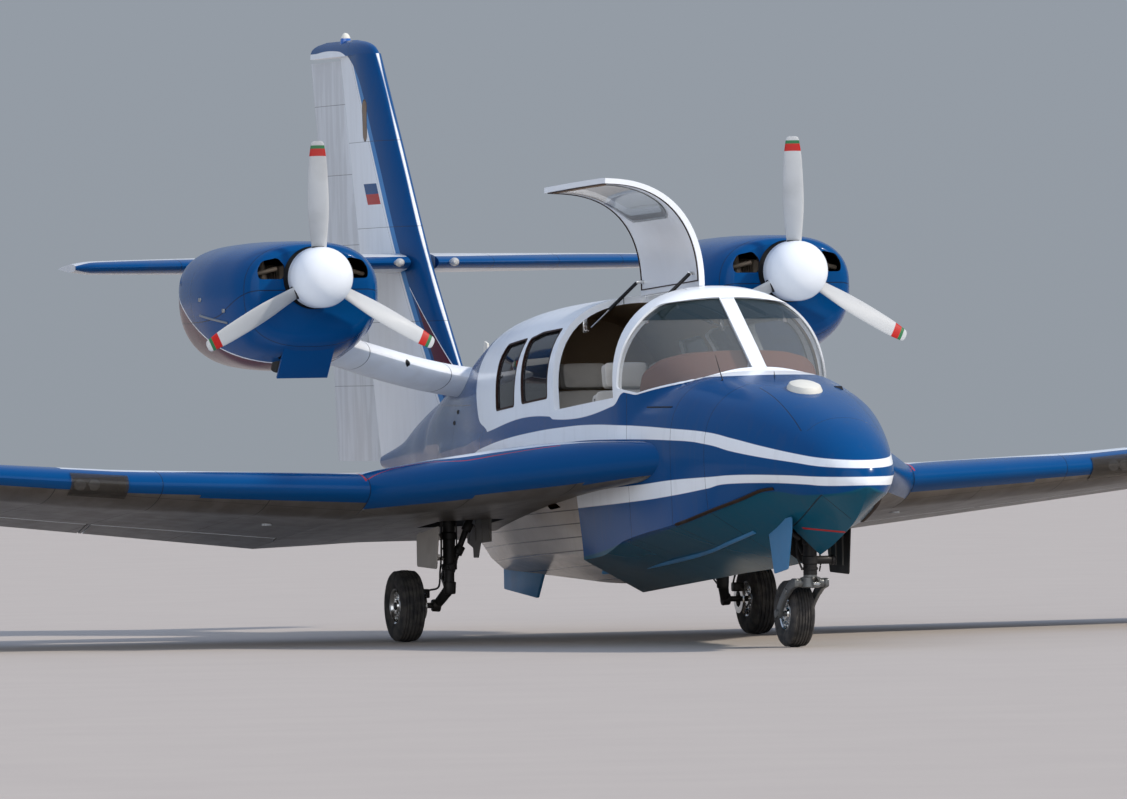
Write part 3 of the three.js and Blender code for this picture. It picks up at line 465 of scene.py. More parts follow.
def finDesign(side, station, z):
    lead = curveOf(z, [(1.05, 7.01), (1.3, 7.25), (1.7, 7.64), (2.36, 8.25), (3.0, 8.73),
                       (3.665, 9.232), (3.8, 9.34)])
    back = minus(station, lead)
    blueBand = below(back, finPaintSettings["band"])
    paleBand = below(back, finPaintSettings["pale"])
    cap = rise(minus(z, curveOf(back, finPaintSettings["capEdge"])), 0.0)
    bottomEdge, blueEdge, whiteEdge, topEdge = finPaintSettings["patch"]
    inPatch = both(within(z, bottomEdge, topEdge), within(back, *finPaintSettings["patchBack"]))
    patch = layered(finish["red"], (rise(z, blueEdge), finish["blue"]), (rise(z, whiteEdge), finish["white"]))
    corner = minus(z, calc("MULTIPLY_ADD", back, 1.9, 1.58))
    maroon = both(below(corner, 0.0), below(back, 0.26), rise(back, 0.03))
    at, level, straight, radius = finPaintSettings["slot"]
    along, past = minus(station, at), either(minus(sized(minus(z, level)), straight), 0.0)
    away = calc("SQRT", calc("MULTIPLY_ADD", past, past, times(along, along)))
    # the white within 3 mm of the fin's leading edge is a painted highlight; the white line along the maroon corner
    # is paint
    shade = layered(finish["white"], (paleBand, finish["paleBlue"]), (either(blueBand, cap), finish["blue"]),
                    (inPatch, patch), (maroon, finish["maroon"]),
                    (either(both(within(corner, 0.0, 0.02), blueBand), below(back, 0.003)), finish["white"]),
                    (below(away, radius), colour(0.2, 0.13, 0.08)))
    slot = within(away, radius - 0.008, radius)
    shade = washed(shade, 12.0, (1, 1, 0.15), 0.1, 0.04, 0.55)
    levels = seams(z, (1.95, 2.55, 3.1), 0.0015)
    spar = seams(back, (0.42,), 0.0015)
    return shade, either(levels, spar, slot), 0.03


def rudderDesign(side, station, z):
    shade = washed(colour(0.66, 0.68, 0.7), 12.0, (1, 1, 0.15), 0.1, 0.14)
    return shade, seams(z, (1.55, 2.0, 2.45, 2.9, 3.35), 0.0015), 0.05


def tailDesign(side, station, z):
    back = minus(station, calc("MULTIPLY_ADD", side, 0.355, 8.267))
    shade = blendColour(below(back, 0.08), colour(0.62, 0.64, 0.66), finish["blue"])
    return shade, seams(side, (0.5, 0.98, 1.46), 0.0015), 0.15


def nacelleDesign(side, station, z):
    belly = minus(z, curveOf(station, [
        (5.7, 2.145), (5.8, 2.115), (5.98, 2.04), (6.2, 1.975), (6.45, 1.955), (7.8, 1.98)]))
    along = within(belly, -0.003, 0.003, 0.001)
    wedge = minus(z, calc("MULTIPLY_ADD", station, 0.455, -1.075))
    maroon = both(below(wedge, 0.0), rise(station, 6.05))
    rings = seams(station, (5.8, 6.62, 7.18), 0.0025)
    soot = both(rise(station, 6.6, 0.4), below(z, 2.0, 0.2), rise(streaks(6.0, (1, 0.2, 1)), 0.42, 0.15))
    shade = layered(finish["blue"], (maroon, finish["maroon"]), (both(maroon, rise(wedge, -0.013)), finish["white"]),
                    (times(soot, 0.5), finish["black"]))
    return shade, either(along, rings), 0.04


def bladeDesign(side, station, z):
    radius = addNode("SeparateXYZ", {0: addNode("UVMap", {}).outputs[0]}).outputs[1]
    plain = colour(0.5, 0.51, 0.51)
    shade = layered(plain, *[(rise(radius, start), band) for start, band in (
        (0.735, finish["red"]), (0.78, colour(0.03, 0.16, 0.06)), (0.8, plain))])
    return shade, None, 0.2, 0.3, 0.45, 0.2


def pylonDesign(side, station, z):
    runs = rise(streaks(7.0, (1, 0.2, 1)), 0.5, 0.12)
    shade = blendColour(times(runs, 0.14), finish["white"], colour(0.42, 0.38, 0.32))
    # black diamond painted where the pylon has a hole: painted shade of its inside
    hole = calc("ADD", sized(minus(side, 0.83)), sized(minus(station, 6.05)))
    shade = blendColour(both(below(hole, 0.016, 0.003), below(z, 1.72)), shade, finish["black"])
    return shade, seams(side, (0.56, 1.06), 0.002), 0.05, 0.4, 0.55, 0.0


finPaint, rudderPaint, tailPaint, nacellePaint, bladePaint, pylonPaint = [
    paintOf(name, design) for name, design in (
        ("finPaint", finDesign), ("rudderPaint", rudderDesign), ("tailPaint", tailDesign),
        ("nacellePaint", nacelleDesign), ("bladePaint", bladeDesign), ("pylonPaint", pylonDesign))]


def leatherMaterial(name, shade):
    material, shader = makeNodes(name)
    grain = addNode("TexVoronoi", {"Scale": 420.0, "Vector": place()[0]})
    fill(shader, {"Base Color": worn(shade, 0.2, 7.0), "Roughness": 0.55})
    bump(shader, times(grain.outputs["Distance"], 0.0002), 1.0, 0.6)
    return material


leather = leatherMaterial("leather", finish["tan"])
paleLeather = leatherMaterial("paleLeather", colour(0.55, 0.52, 0.47))


def rubberMaterial():
    material, shader = makeNodes("tyreRubber")
    dust = times(rise(noise(18.0, 6.0), 0.5, 0.15), 0.5)
    shade = blendColour(dust, colour(0.018, 0.018, 0.019), colour(0.09, 0.08, 0.07))
    fill(shader, {"Base Color": shade, "Roughness": 0.85})
    bump(shader, times(noise(300.0, 3.0), 0.0003), 1.0, 0.7)
    return material


rubber = rubberMaterial()


def clearMaterial(name, tint, **inputs):
    material, shader = makeNodes(name)
    fill(shader, {"Base Color": colour(*tint), **inputs})
    return material


def glassMaterial(name, tint, alpha):
    return clearMaterial(name, tint, Roughness=0.03, Alpha=alpha, IOR=1.49)


def lampMaterial(name, shade):
    return clearMaterial(name, shade, Roughness=0.08, **{"Coat Weight": 1.0, "Emission Color": colour(*shade),
                                                         "Emission Strength": 0.0})


clearGlass = glassMaterial("clearGlass", (0.26, 0.28, 0.28), 0.2)
hazyGlass = glassMaterial("hazyGlass", (0.2, 0.22, 0.21), 0.5)
tintedGlass = glassMaterial("tintedGlass", (0.02, 0.022, 0.024), 0.72)
tintBand = glassMaterial("tintBand", (0.015, 0.03, 0.035), 0.62)
lensGlass = glassMaterial("lensGlass", (0.05, 0.043, 0.035), 0.5)
redLamp, greenLamp = lampMaterial("redLamp", (0.5, 0.01, 0.01)), lampMaterial("greenLamp", (0.01, 0.35, 0.08))
blueLamp = lampMaterial("blueLamp", (0.02, 0.12, 0.45))
print("materials made")


# Meshes
def softened(mesh, edges, by, segments=2):
    bmesh.ops.bevel(mesh, geom=edges, offset=by, offset_type="OFFSET", affect="EDGES", segments=segments,
                    profile=0.5, material=-1)


def moved(mesh, by=(0, 0, 0), turn=0.0, axis="X", stretch=(1, 1, 1)):
    bmesh.ops.scale(mesh, vec=stretch, verts=mesh.verts)
    bmesh.ops.rotate(mesh, cent=(0, 0, 0), matrix=Matrix.Rotation(turn, 3, axis), verts=mesh.verts)
    bmesh.ops.translate(mesh, vec=by, verts=mesh.verts)
    return mesh


def skinOver(rings, around=True, capped=True):
    across = len(rings[0]) - (0 if around else 1)
    mesh = bmesh.new()
    bmesh.ops.create_grid(mesh, x_segments=across, y_segments=len(rings) - 1, size=1)
    mesh.verts.ensure_lookup_table()
    columns = across + 1
    for index, vert in enumerate(mesh.verts):
        ring = rings[index // columns]
        vert.co = ring[index % columns % len(ring)]
    bmesh.ops.remove_doubles(mesh, verts=mesh.verts, dist=1e-5)
    if capped:
        bmesh.ops.holes_fill(mesh, edges=[e for e in mesh.edges if e.is_boundary], sides=0)
    bmesh.ops.recalc_face_normals(mesh, faces=mesh.faces)
    return mesh


def outward(mesh):
    bmesh.ops.recalc_face_normals(mesh, faces=mesh.faces)
    if mesh.calc_volume(signed=True) < 0:
        bmesh.ops.reverse_faces(mesh, faces=mesh.faces)
    return mesh


def prism(outline, low, high, corner=0.0, segments=4, along="X"):
    mesh = bmesh.new()
    face = mesh.faces.new([mesh.verts.new((low, a, b)) for a, b in outline])
    grown = bmesh.ops.extrude_face_region(mesh, geom=[face])["geom"]
    far = [v for v in grown if isinstance(v, bmesh.types.BMVert)]
    bmesh.ops.translate(mesh, vec=(high - low, 0, 0), verts=far)
    bmesh.ops.holes_fill(mesh, edges=[e for e in mesh.edges if e.is_boundary], sides=0)
    if corner:
        edges = [e for e in mesh.edges if abs(e.verts[0].co.x - e.verts[1].co.x) > 1e-6]
        softened(mesh, edges, corner, segments)
    for vert in mesh.verts:
        x, a, b = vert.co
        vert.co = {"X": (x, a, b), "Y": (a, x, b), "Z": (a, b, x)}[along]
    return outward(mesh)


def cuboid(low, high, corner=0.0):
    mesh = bmesh.new()
    bmesh.ops.create_cube(mesh, size=1)
    low, high = Vector(low), Vector(high)
    moved(mesh, (low + high) / 2, stretch=high - low)
    if corner:
        softened(mesh, mesh.edges[:], corner)
    return mesh


def rod(start, end, radius, endRadius=None, sides=20, rounded=0.0):
    start, end = Vector(start), Vector(end)
    mesh = bmesh.new()
    bmesh.ops.create_cone(mesh, cap_ends=True, segments=sides, radius1=radius,
                          radius2=radius if endRadius is None else endRadius, depth=(end - start).length)
    if rounded:
        rims = [e for e in mesh.edges if len(e.link_faces) == 2 and any(len(f.verts) > 4 for f in e.link_faces)]
        softened(mesh, rims, rounded)
    turn = (end - start).to_track_quat("Z", "Y").to_matrix().to_4x4()
    bmesh.ops.transform(mesh, matrix=Matrix.Translation((start + end) / 2) @ turn, verts=mesh.verts)
    return mesh


def smoothPath(points, steps=6):
    points = [Vector(p) for p in points]
    ends = [points[0] * 2 - points[1]] + points + [points[-1] * 2 - points[-2]]
    path = []
    for a, b, c, d in zip(ends, ends[1:], ends[2:], ends[3:]):
        for i in range(steps):
            t = i / steps
            path.append(0.5 * (2 * b + (c - a) * t + (2 * a - 5 * b + 4 * c - d) * t ** 2
                               + (3 * b - a - 3 * c + d) * t ** 3))
    return path + [points[-1]]


def tube(points, radius, sides=12, flat=1.0):
    rings = []
    for i, spot in enumerate(points):
        ahead = (points[min(i + 1, len(points) - 1)] - points[max(i - 1, 0)]).normalized()
        side = ahead.cross(Vector((0, 0, 1)) if abs(ahead.z) < 0.9 else Vector((1, 0, 0))).normalized()
        up = side.cross(ahead)
        rings.append([spot + (side * math.cos(math.tau * k / sides) + up * math.sin(math.tau * k / sides) * flat)
                      * radius for k in range(sides)])
    return skinOver(rings)


def turned(profile, centre, axis="X", steps=48):
    mesh = bmesh.new()
    lift = Vector([float(axis == each) for each in "XYZ"])
    side = Vector((0, 0, 1)) if axis != "Z" else Vector((1, 0, 0))
    verts = [mesh.verts.new(lift * along + side * radius) for radius, along in profile]
    edges = [mesh.edges.new(pair) for pair in zip(verts, verts[1:])]
    bmesh.ops.spin(mesh, geom=verts + edges, cent=(0, 0, 0), axis=lift, angle=math.tau, steps=steps,
                   use_merge=True, use_duplicate=False)
    bmesh.ops.remove_doubles(mesh, verts=mesh.verts, dist=1e-6)
    bmesh.ops.recalc_face_normals(mesh, faces=mesh.faces)
    return moved(mesh, centre)


def together(*meshes):
    whole = bmesh.new()
    for mesh in meshes:
        part = meshData(mesh, "part")
        whole.from_mesh(part)
        bpy.data.meshes.remove(part)
    return whole


def otherSide(mesh):
    bmesh.ops.scale(mesh, vec=(-1, 1, 1), verts=mesh.verts)
    bmesh.ops.reverse_faces(mesh, faces=mesh.faces)
    return mesh


def marked(mesh, index):
    for face in mesh.faces:
        face.material_index = index
    return mesh


def addPiece(mesh, name, material, body="airframe", slot=None, replaced=(), angle=35):
    bmesh.ops.translate(mesh, vec=(0, noseY, 0), verts=mesh.verts)
    data = meshData(mesh, name)
    piece = newObject(name, data)
    for entry in material if isinstance(material, (list, tuple)) else [material]:
        data.materials.append(entry)
    data.shade_smooth()
    data.set_sharp_from_angle(angle=math.radians(angle))
    if replaced:
        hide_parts(*replaced)
    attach(piece, body)
    return piece


materialSlots = 4  # a cutter's material numbers are kept on the faces that it leaves


def carved(mesh, cutter, operation="DIFFERENCE"):
    parts = []
    for source in (mesh, cutter):
        data = meshData(source, "carving")
        for _ in range(materialSlots):
            data.materials.append(None)
        parts.append(newObject("carving", data))
    modifier = parts[0].modifiers.new("carve", "BOOLEAN")
    modifier.object = parts[1]
    modifier.operation = operation
    modifier.solver = "EXACT"
    result = parts[0].evaluated_get(bpy.context.evaluated_depsgraph_get())
    whole = bmesh.new()
    whole.from_mesh(result.to_mesh())
    result.to_mesh_clear()
    for part in parts:
        data = part.data
        bpy.data.objects.remove(part)
        bpy.data.meshes.remove(data)
    return whole


def smoothRow(rows, at):
    if at <= rows[0][0]:
        return rows[0][1:]
    if at >= rows[-1][0]:
        return rows[-1][1:]
    index = max(i for i in range(len(rows) - 1) if rows[i][0] <= at)
    span = rows[index + 1][0] - rows[index][0]
    t = (at - rows[index][0]) / span

    def slope(i, column):
        if i == 0 or i == len(rows) - 1:
            a, b = (rows[0], rows[1]) if i == 0 else (rows[-2], rows[-1])
            return (b[column] - a[column]) / (b[0] - a[0])
        left = (rows[i][column] - rows[i - 1][column]) / (rows[i][0] - rows[i - 1][0])
        right = (rows[i + 1][column] - rows[i][column]) / (rows[i + 1][0] - rows[i][0])
        if left * right <= 0:
            return 0.0
        return 2 * left * right / (left + right)

    values = []
    for column in range(1, len(rows[0])):
        a, b = rows[index][column], rows[index + 1][column]
        m, n = slope(index, column) * span, slope(index + 1, column) * span
        values.append(a + m * t + (3 * (b - a) - 2 * m - n) * t ** 2 + (2 * (a - b) + m + n) * t ** 3)
    return values


# Canopy and tail cone
canopyRows = [  # station, half-width, spring height, crown, roundness
    (1.7, 0.2, 1.4, 1.53, 2.3),
    (1.83, 0.36, 1.4, 1.603, 2.3),
    (2.0, 0.475, 1.4, 1.725, 2.3),
    (2.2, 0.565, 1.43, 1.868, 2.3),
    (2.4, 0.622, 1.45, 2.008, 2.35),
    (2.535, 0.65, 1.48, 2.09, 2.35),
    (2.69, 0.66, 1.49, 2.105, 2.35),
    (3.4, 0.665, 1.46, 2.075, 2.5),
    (3.75, 0.665, 1.45, 2.06, 2.6),
    (4.56, 0.655, 1.43, 2.03, 2.6),
    (5.37, 0.6, 1.4, 1.975, 2.4),
    (5.98, 0.505, 1.35, 1.88, 2.2),
    (6.75, 0.365, 1.24, 1.73, 1.7),
    (7.45, 0.26, 1.15, 1.5, 1.8),
]
tailRows = [  # station, half-width, middle height, bottom, crown
    (5.9, 0.48, 1.14, 0.6, 1.7),
    (6.8, 0.39, 1.155, 0.612, 1.665),
    (7.45, 0.285, 1.14, 0.68, 1.52),
    (7.8, 0.235, 1.13, 0.75, 1.44),
    (8.2, 0.165, 1.12, 0.83, 1.34),
    (8.6, 0.11, 1.1, 0.92, 1.21),
    (9.155, 0.05, 1.07, 1.02, 1.12),
]
centreRows = [(0, 0.945), (0.4, 1.0), (1.8, 1.1), (2.5, 1.2), (4.0, 1.2), (5.4, 1.15), (7.45, 1.14),
              (8.2, 1.12), (9.155, 1.07)]
canopyBase = 1.15


def polarOf(points, centre):
    return sorted((math.atan2(z - centre, x), math.hypot(x, z - centre)) for x, z in points)


def reachAt(spots, angle):
    if angle < spots[0][0] - 1e-6:
        return 0.0
    for (a, near), (b, far) in zip(spots, spots[1:]):
        if angle <= b + 1e-9:
            if b - a < 1e-9:
                return max(near, far)
            start = Vector((math.cos(a), math.sin(a))) * near
            end = Vector((math.cos(b), math.sin(b))) * far
            ray = Vector((math.cos(angle), math.sin(angle)))
            run = end - start
            under = ray.x * run.y - ray.y * run.x
            if abs(under) < 1e-12:
                return near
            return (start.x * run.y - start.y * run.x) / under
    return spots[-1][1]


def outerOf(first, second, soft):
    low, high = sorted((first, second))
    if soft <= 0 or high - low > soft:
        return high
    return high + (soft - high + low) ** 2 / (4 * soft)


def quarter(width, base, crown, power, count):
    angles = [math.pi / 2 * i / count for i in range(count + 1)]
    return [(width * math.cos(a) ** (2 / power), base + (crown - base) * math.sin(a) ** (2 / power)) for a in angles]


def sectionShapes(station, aft):
    middle = smoothRow(centreRows, station)[0]
    shapes = []
    if station <= 6.8:
        keel, chineX, chineZ, waistX, waistZ, crown, power = smoothRow(
            hull["after"] if aft else hull["fore"], station)
        points = [(0, keel), (chineX / 2, (keel + chineZ) / 2), (chineX, chineZ),
                  ((chineX + 2 * waistX) / 3, (chineZ + waistZ) / 2)]
        shapes.append(polarOf(points + quarter(waistX, waistZ, crown, power, 16), middle))
        chine = math.atan2(chineZ - middle, chineX)
    else:
        chine = math.atan2(smoothRow(hull["after"], 6.8)[2] - middle, 0.08)
    if 1.7 <= station <= 7.45:
        halfWidth, spring, crown, power = smoothRow(canopyRows, station)
        shapes.append(polarOf([(halfWidth, canopyBase)] + quarter(halfWidth, spring, crown, power, 24), middle))
    if station >= 5.9:
        halfWidth, level, bottom, crown = smoothRow(tailRows, station)
        points = []
        for i in range(33):
            angle = -math.pi / 2 + math.pi * i / 32
            reach = crown - level if angle > 0 else level - bottom
            points.append((halfWidth * math.cos(angle), level + reach * math.sin(angle)))
        shapes.append(polarOf(points, middle))
    return middle, chine, shapes


def softness(station):
    return 0.012 + 0.07 * min(1.0, max(0.0, (station - 5.2) / 1.2))


sectionCache = {}


def fuselageReach(station, angle, aft=False):
    key = (round(station, 5), aft)
    if key not in sectionCache:
        sectionCache[key] = sectionShapes(station, aft)
    middle, chine, shapes = sectionCache[key]
    reach = reachAt(shapes[0], angle)
    for shape in shapes[1:]:
        reach = outerOf(reach, reachAt(shape, angle), softness(station))
    return reach


def fuselageRing(station, aft=False, inset=0.0, floor=None, below=9, above=44):
    fuselageReach(station, 0, aft)
    middle, chine, shapes = sectionCache[(round(station, 5), aft)]
    angles = [-math.pi / 2 + (chine + math.pi / 2) * i / below for i in range(below)]
    angles += [chine + (math.pi / 2 - chine) * i / above for i in range(above + 1)]
    half = []
    for angle in angles:
        reach = fuselageReach(station, angle, aft) - inset
        if floor is not None and math.sin(angle) < 0:
            reach = min(reach, (middle - floor) / -math.sin(angle))
        x, z = max(reach, 0.001) * math.cos(angle), middle + max(reach, 0.001) * math.sin(angle)
        if angle in (angles[0], angles[-1]):
            x = 0.0
        low, high = hull["stepReach"]
        share = 0.0
        if low < station < high and inset == 0.0:
            ahead = (station - low) / (hull["stepStation"] - low)
            behind = (high - station) / (high - hull["stepStation"])
            fade = min(1.0, max(0.0, (1.2 - z) / 0.3))
            share = min(ahead, behind) * fade * min(x / hull["beam"], 1.0)
        half.append(Vector((x, station - hull["stepShift"] * share, z)))
    return half + [Vector((-p.x, p.y, p.z)) for p in reversed(half[1:-1])]


def stations(low, high, pitch):
    count = max(1, math.ceil((high - low) / pitch))
    return [low + (high - low) * i / count for i in range(count + 1)]


def fuselageBody():
    nearNose = [0.0, 0.006, 0.014, 0.025, 0.045, 0.07, 0.1, 0.14, 0.18]
    places = nearNose + stations(0.22, 1.6, 0.07) + stations(1.7, 2.8, 0.035) + stations(2.9, 4.07, 0.09)
    rings = [fuselageRing(y) for y in places]
    rings += [fuselageRing(y, aft=True) for y in stations(4.07, 9.155, 0.09)]
    return skinOver(rings)


def cabinHollow(inset=0.04, low=1.96, high=5.33, floor=0.78):
    return skinOver([fuselageRing(y, aft=y > 4.07, inset=inset, floor=floor) for y in stations(low, high, 0.09)])


doorSettings = {
    "outline": [(2.605, 1.462), (3.69, 1.392), (3.79, 2.2), (2.695, 2.2)],
    "window": [(2.79, 1.52), (3.56, 1.47), (3.64, 1.8), (3.56, 1.88), (2.9, 1.905), (2.8, 1.85)],
    "hingeX": 0.05,
    "hinge": (2.69, 2.103),
    "slope": -0.0425,
    "open": 93,
    "seam": 0.006,
    "wall": 0.034,
}
windows = {
    "windscreen": [(1.85, 1.65), (2.44, 2.06), (2.462, 2.03), (2.53, 2.01), (2.56, 1.7),
                   (2.56, 1.5), (2.33, 1.47), (1.83, 1.56)],
    "front": [(3.815, 1.455), (4.332, 1.423), (4.402, 1.818), (4.206, 1.856), (3.842, 1.876)],
    "rear": [(4.485, 1.408), (4.89, 1.382), (4.92, 1.7), (4.87, 1.787), (4.46, 1.822)],
}


def bothSides(mesh):
    other = mesh.copy()
    return together(mesh, otherSide(other))


def grown(outline, by):
    y = sum(p[0] for p in outline) / len(outline)
    z = sum(p[1] for p in outline) / len(outline)
    return [(a + by * math.copysign(1, a - y), b + by * math.copysign(1, b - z)) for a, b in outline]


def doorZone(by=0.0):
    return prism(grown(doorSettings["outline"], by), doorSettings["hingeX"] - by, farSide)


sideStart, farSide = 0.3, 0.9  # where the cutters of side windows begin and end
trim = {"seal": 0.012, "paneDepth": (0.014, 0.022), "rearPaneDepth": (0.012, 0.02),
        "doorPaneDepth": (0.0346, 0.04), "bandLevel": 1.905}

fuselage = carved(fuselageBody(), marked(cabinHollow(), 1))
print("fuselage hollowed")
windscreenLimit = 0.038
for cutter in (
    bothSides(prism(windows["windscreen"], windscreenLimit, farSide, 0.02)),
    bothSides(together(*[prism(windows[name], sideStart, farSide, 0.03) for name in ("front", "rear")])),
    bothSides(doorZone(doorSettings["seam"])),
    marked(cuboid((-0.205, 0.84, 0.2), (0.205, 1.16, 0.76)), 2),
):
    fuselage = carved(fuselage, cutter)
print("windows, doors and nose bay cut")
addPiece(fuselage, "fuselage", [fuselagePaint, liner, gearMetal, sealRubber], slot="blue_paint",
         replaced=("hull", "nose_deck", "cabin_frame", "aft_fuselage"))


def canopySkin(places, inset=0.0, floor=1.2, above=60):
    return skinOver([fuselageRing(y, inset=inset, floor=floor, below=3, above=above) for y in places])


def skinLayer(outer, inner, low, high, pitch=0.05):
    places = stations(low, high, pitch)
    inside = canopySkin([low - 0.02] + places + [high + 0.02], inner, above=56)
    return carved(canopySkin(places, outer, above=56), moved(inside, (0, 0, -0.0001)))


def paneOf(outline, depths, start, hole=None, corner=0.02):
    reach = [p[0] for p in outline]
    low, high = min(reach) - 0.06, max(reach) + 0.06
    pane = carved(skinLayer(*depths, low, high), prism(outline, start, farSide, corner), "INTERSECT")
    if hole:
        pane = carved(pane, prism(hole, start + trim["seal"] * 0.5, farSide, corner * 0.8))
    return pane


def banded(pane, level):
    bmesh.ops.bisect_plane(pane, geom=pane.verts[:] + pane.edges[:] + pane.faces[:], dist=1e-5,
                           plane_co=(0, 0, level), plane_no=(0, 0, 1))
    for face in pane.faces:
        face.material_index = int(face.calc_center_median().z > level)
    return pane


def pairOf(mesh, name, material, slot, nodes=(), body=None, angle=35, turn=None):
    other = otherSide(mesh.copy())
    if turn:
        bmesh.ops.transform(other, matrix=turn, verts=other.verts)
    for one, side in ((mesh, "port"), (other, "starboard")):
        addPiece(one, f"{name}_{side}", material, f"{body}_{side}" if body else "airframe", slot,
                 [f"{node}_{side}" for node in nodes], angle)


windscreen = banded(paneOf(windows["windscreen"], trim["paneDepth"], windscreenLimit + 0.001), trim["bandLevel"])
pairOf(windscreen, "windscreenPane", [clearGlass, tintBand], "clear_glass", ["windscreen"])
for name in ("front", "rear"):
    pane = paneOf(windows[name], trim["rearPaneDepth"], sideStart, None, 0.03)
    pairOf(pane, f"{name}Window", tintedGlass, "tinted_glass", ["rear_glazing"] if name == "front" else [])
for name, start in (("windscreen", windscreenLimit), ("front", sideStart), ("rear", sideStart)):
    ring = paneOf(windows[name], (-0.0015, 0.012), start, grown(windows[name], -trim["seal"]), 0.025)
    pairOf(ring, f"{name}Seal", sealRubber if name != "windscreen" else whitePaint, "tyre_rubber")
print("panes and seals fitted")


# Gull doors: the port one is shut, the starboard one stands open about its roof hinge
doorInner = canopySkin(stations(2.45, 3.95, 0.04), doorSettings["wall"])
doorShell = carved(canopySkin(stations(2.52, 3.88, 0.035), floor=1.25), marked(doorInner, 1))
doorShell = carved(doorShell, marked(doorZone(), 2), "INTERSECT")
doorShell = carved(doorShell, marked(prism(doorSettings["window"], sideStart, farSide, 0.05), 2))
hinge = Vector((doorSettings["hingeX"], *doorSettings["hinge"]))
hingeAxis = Vector((0, 1, doorSettings["slope"])).normalized()
toHinge = Matrix.Translation((-hinge.x, hinge.y, hinge.z))
opening = toHinge @ Matrix.Rotation(math.radians(doorSettings["open"]), 4, hingeAxis) @ toHinge.inverted()


def onDoors(mesh, name, material, slot, replaced=()):
    pairOf(mesh, name, material, slot, replaced, "door", turn=opening)


strutPins = {"stations": (2.745, 3.735), "door": (0.078, 0.068), "frame": (0.38, 0.203), "reach": (0.105, 0.062)}


def hingeHeight(y):
    return hinge.z + doorSettings["slope"] * (y - hinge.y)


def pinPlace(which, y):
    out, down = strutPins[which]
    return hinge.x + out, hingeHeight(y) - down


def doorLugs():
    parts = []
    for y, inward in zip(strutPins["stations"], (1, -1)):
        x, z = pinPlace("door", y)
        at = y + inward * 0.022
        parts += [cuboid((x - 0.01, at - 0.006, z - 0.012), (x + 0.01, at + 0.006, z + 0.048), 0.003),
                  rod((x, at, z), (x, y - inward * 0.008, z), 0.005)]
    return together(*parts)


def frameLugs():
    parts = []
    for y, outward, reach in zip(strutPins["stations"], (-1, 1), strutPins["reach"]):
        x, z = pinPlace("frame", y)
        root = y + outward * reach
        parts += [cuboid((x - 0.014, root - 0.012, z - 0.012), (x + 0.014, root + 0.012, z + 0.08), 0.004),
                  rod((x, root, z), (x, y - outward * 0.006, z), 0.005)]
    return together(*parts)


doorEdge = doorSettings["outline"]
onDoors(doorShell, "doorShell", [fuselagePaint, whitePaint, whitePaint], "white_paint", ["door"])
onDoors(paneOf(grown(doorEdge, -0.012), (0.034, 0.0385), 0.08, grown(doorEdge, -0.024), 0.02), "doorSeal",
        sealRubber, "tyre_rubber")
onDoors(doorLugs(), "doorLugs", brightMetal, "alloy")
addPiece(bothSides(frameLugs()), "frameLugs", brightMetal, slot="alloy")
doorWindow = doorSettings["window"]
onDoors(paneOf(grown(doorWindow, 0.022), trim["doorPaneDepth"], sideStart, None, 0.045), "doorPane", hazyGlass,
        "tinted_glass", ["door_glass"])
windowSeal = paneOf(grown(doorWindow, 0.018), (0.034, 0.0346), sideStart, grown(doorWindow, -0.006), 0.05)
onDoors(windowSeal, "doorWindowSeal", sealRubber, "tyre_rubber")
trimPanel = [(2.7, 1.475), (3.62, 1.425), (3.6, 1.455), (3.52, 1.463), (2.83, 1.512), (2.73, 1.505)]
onDoors(paneOf(trimPanel, (0.033, 0.04), sideStart, None, 0.008), "doorTrim", tanTrim, "seat_leather")
print("doors hung")


# Wings: columns are span, leading edge, its height, trailing edge, its height, depth over, depth under, deepest
wing = {
    "centre": [
        (0.38, 1.56, 1.11, 6.44, 0.6, 0.12, 0.09, 0.3),
        (0.62, 1.94, 1.095, 6.445, 0.6, 0.135, 0.1, 0.3),
        (1.0, 2.61, 1.045, 6.452, 0.598, 0.195, 0.125, 0.5),
        (1.3, 3.17, 1.0, 6.46, 0.586, 0.185, 0.125, 0.5),
        (1.71, 4.01, 0.935, 6.468, 0.57, 0.145, 0.115, 0.43),
    ],
    "outer": [
        (1.71, 4.01, 0.935, 6.468, 0.57, 0.145, 0.115, 0.43),
        (3.05, 4.54, 0.985, 6.627, 0.715, 0.13, 0.095, 0.4),
        (6.25, 5.73, 1.232, 7.007, 1.062, 0.08, 0.055, 0.28),
        (6.34, 5.86, 1.24, 6.99, 1.075, 0.055, 0.04, 0.24),
        (6.36, 6.05, 1.24, 6.93, 1.085, 0.015, 0.015, 0.2),
    ],
    "trailHalf": 0.005,
    "gap": 0.0004,
    "flap": (1.74, 2.84),
    "aileron": (2.87, 6.08),
    "surfaceChord": 0.24,
    "surfaceGap": 0.009,
    "endGap": 0.007,
    "lens": (3.05, 3.37),
    "lampBay": ((3.065, 4.4, 0.932), (3.355, 4.74, 1.032)),
}


def wingRow(part, x):
    rows = wing[part]
    if part == "centre" or x > 6.2:
        return smoothRow(rows, x)
    index = 0 if x < rows[1][0] else 1
    low, high = rows[index], rows[index + 1]
    t = (x - low[0]) / (high[0] - low[0])
    return [a + t * (b - a) for a, b in zip(low[1:], high[1:])]


def wingDepths(row, s):
    leadY, leadZ, trailY, trailZ, upper, lower, deepest = row
    if s <= deepest:
        bulge = math.sqrt(max(0.0, 1 - (1 - s / deepest) ** 2))
        return upper * bulge, lower * bulge
    run = (s - deepest) / (trailY - leadY - deepest)
    over = 1 - run ** 1.35
    under = 1 - run ** 0.7 * min(1.0, run / 0.12) ** 0.5
    half = wing["trailHalf"]
    return half + (upper - half) * over, half + (lower - half) * under


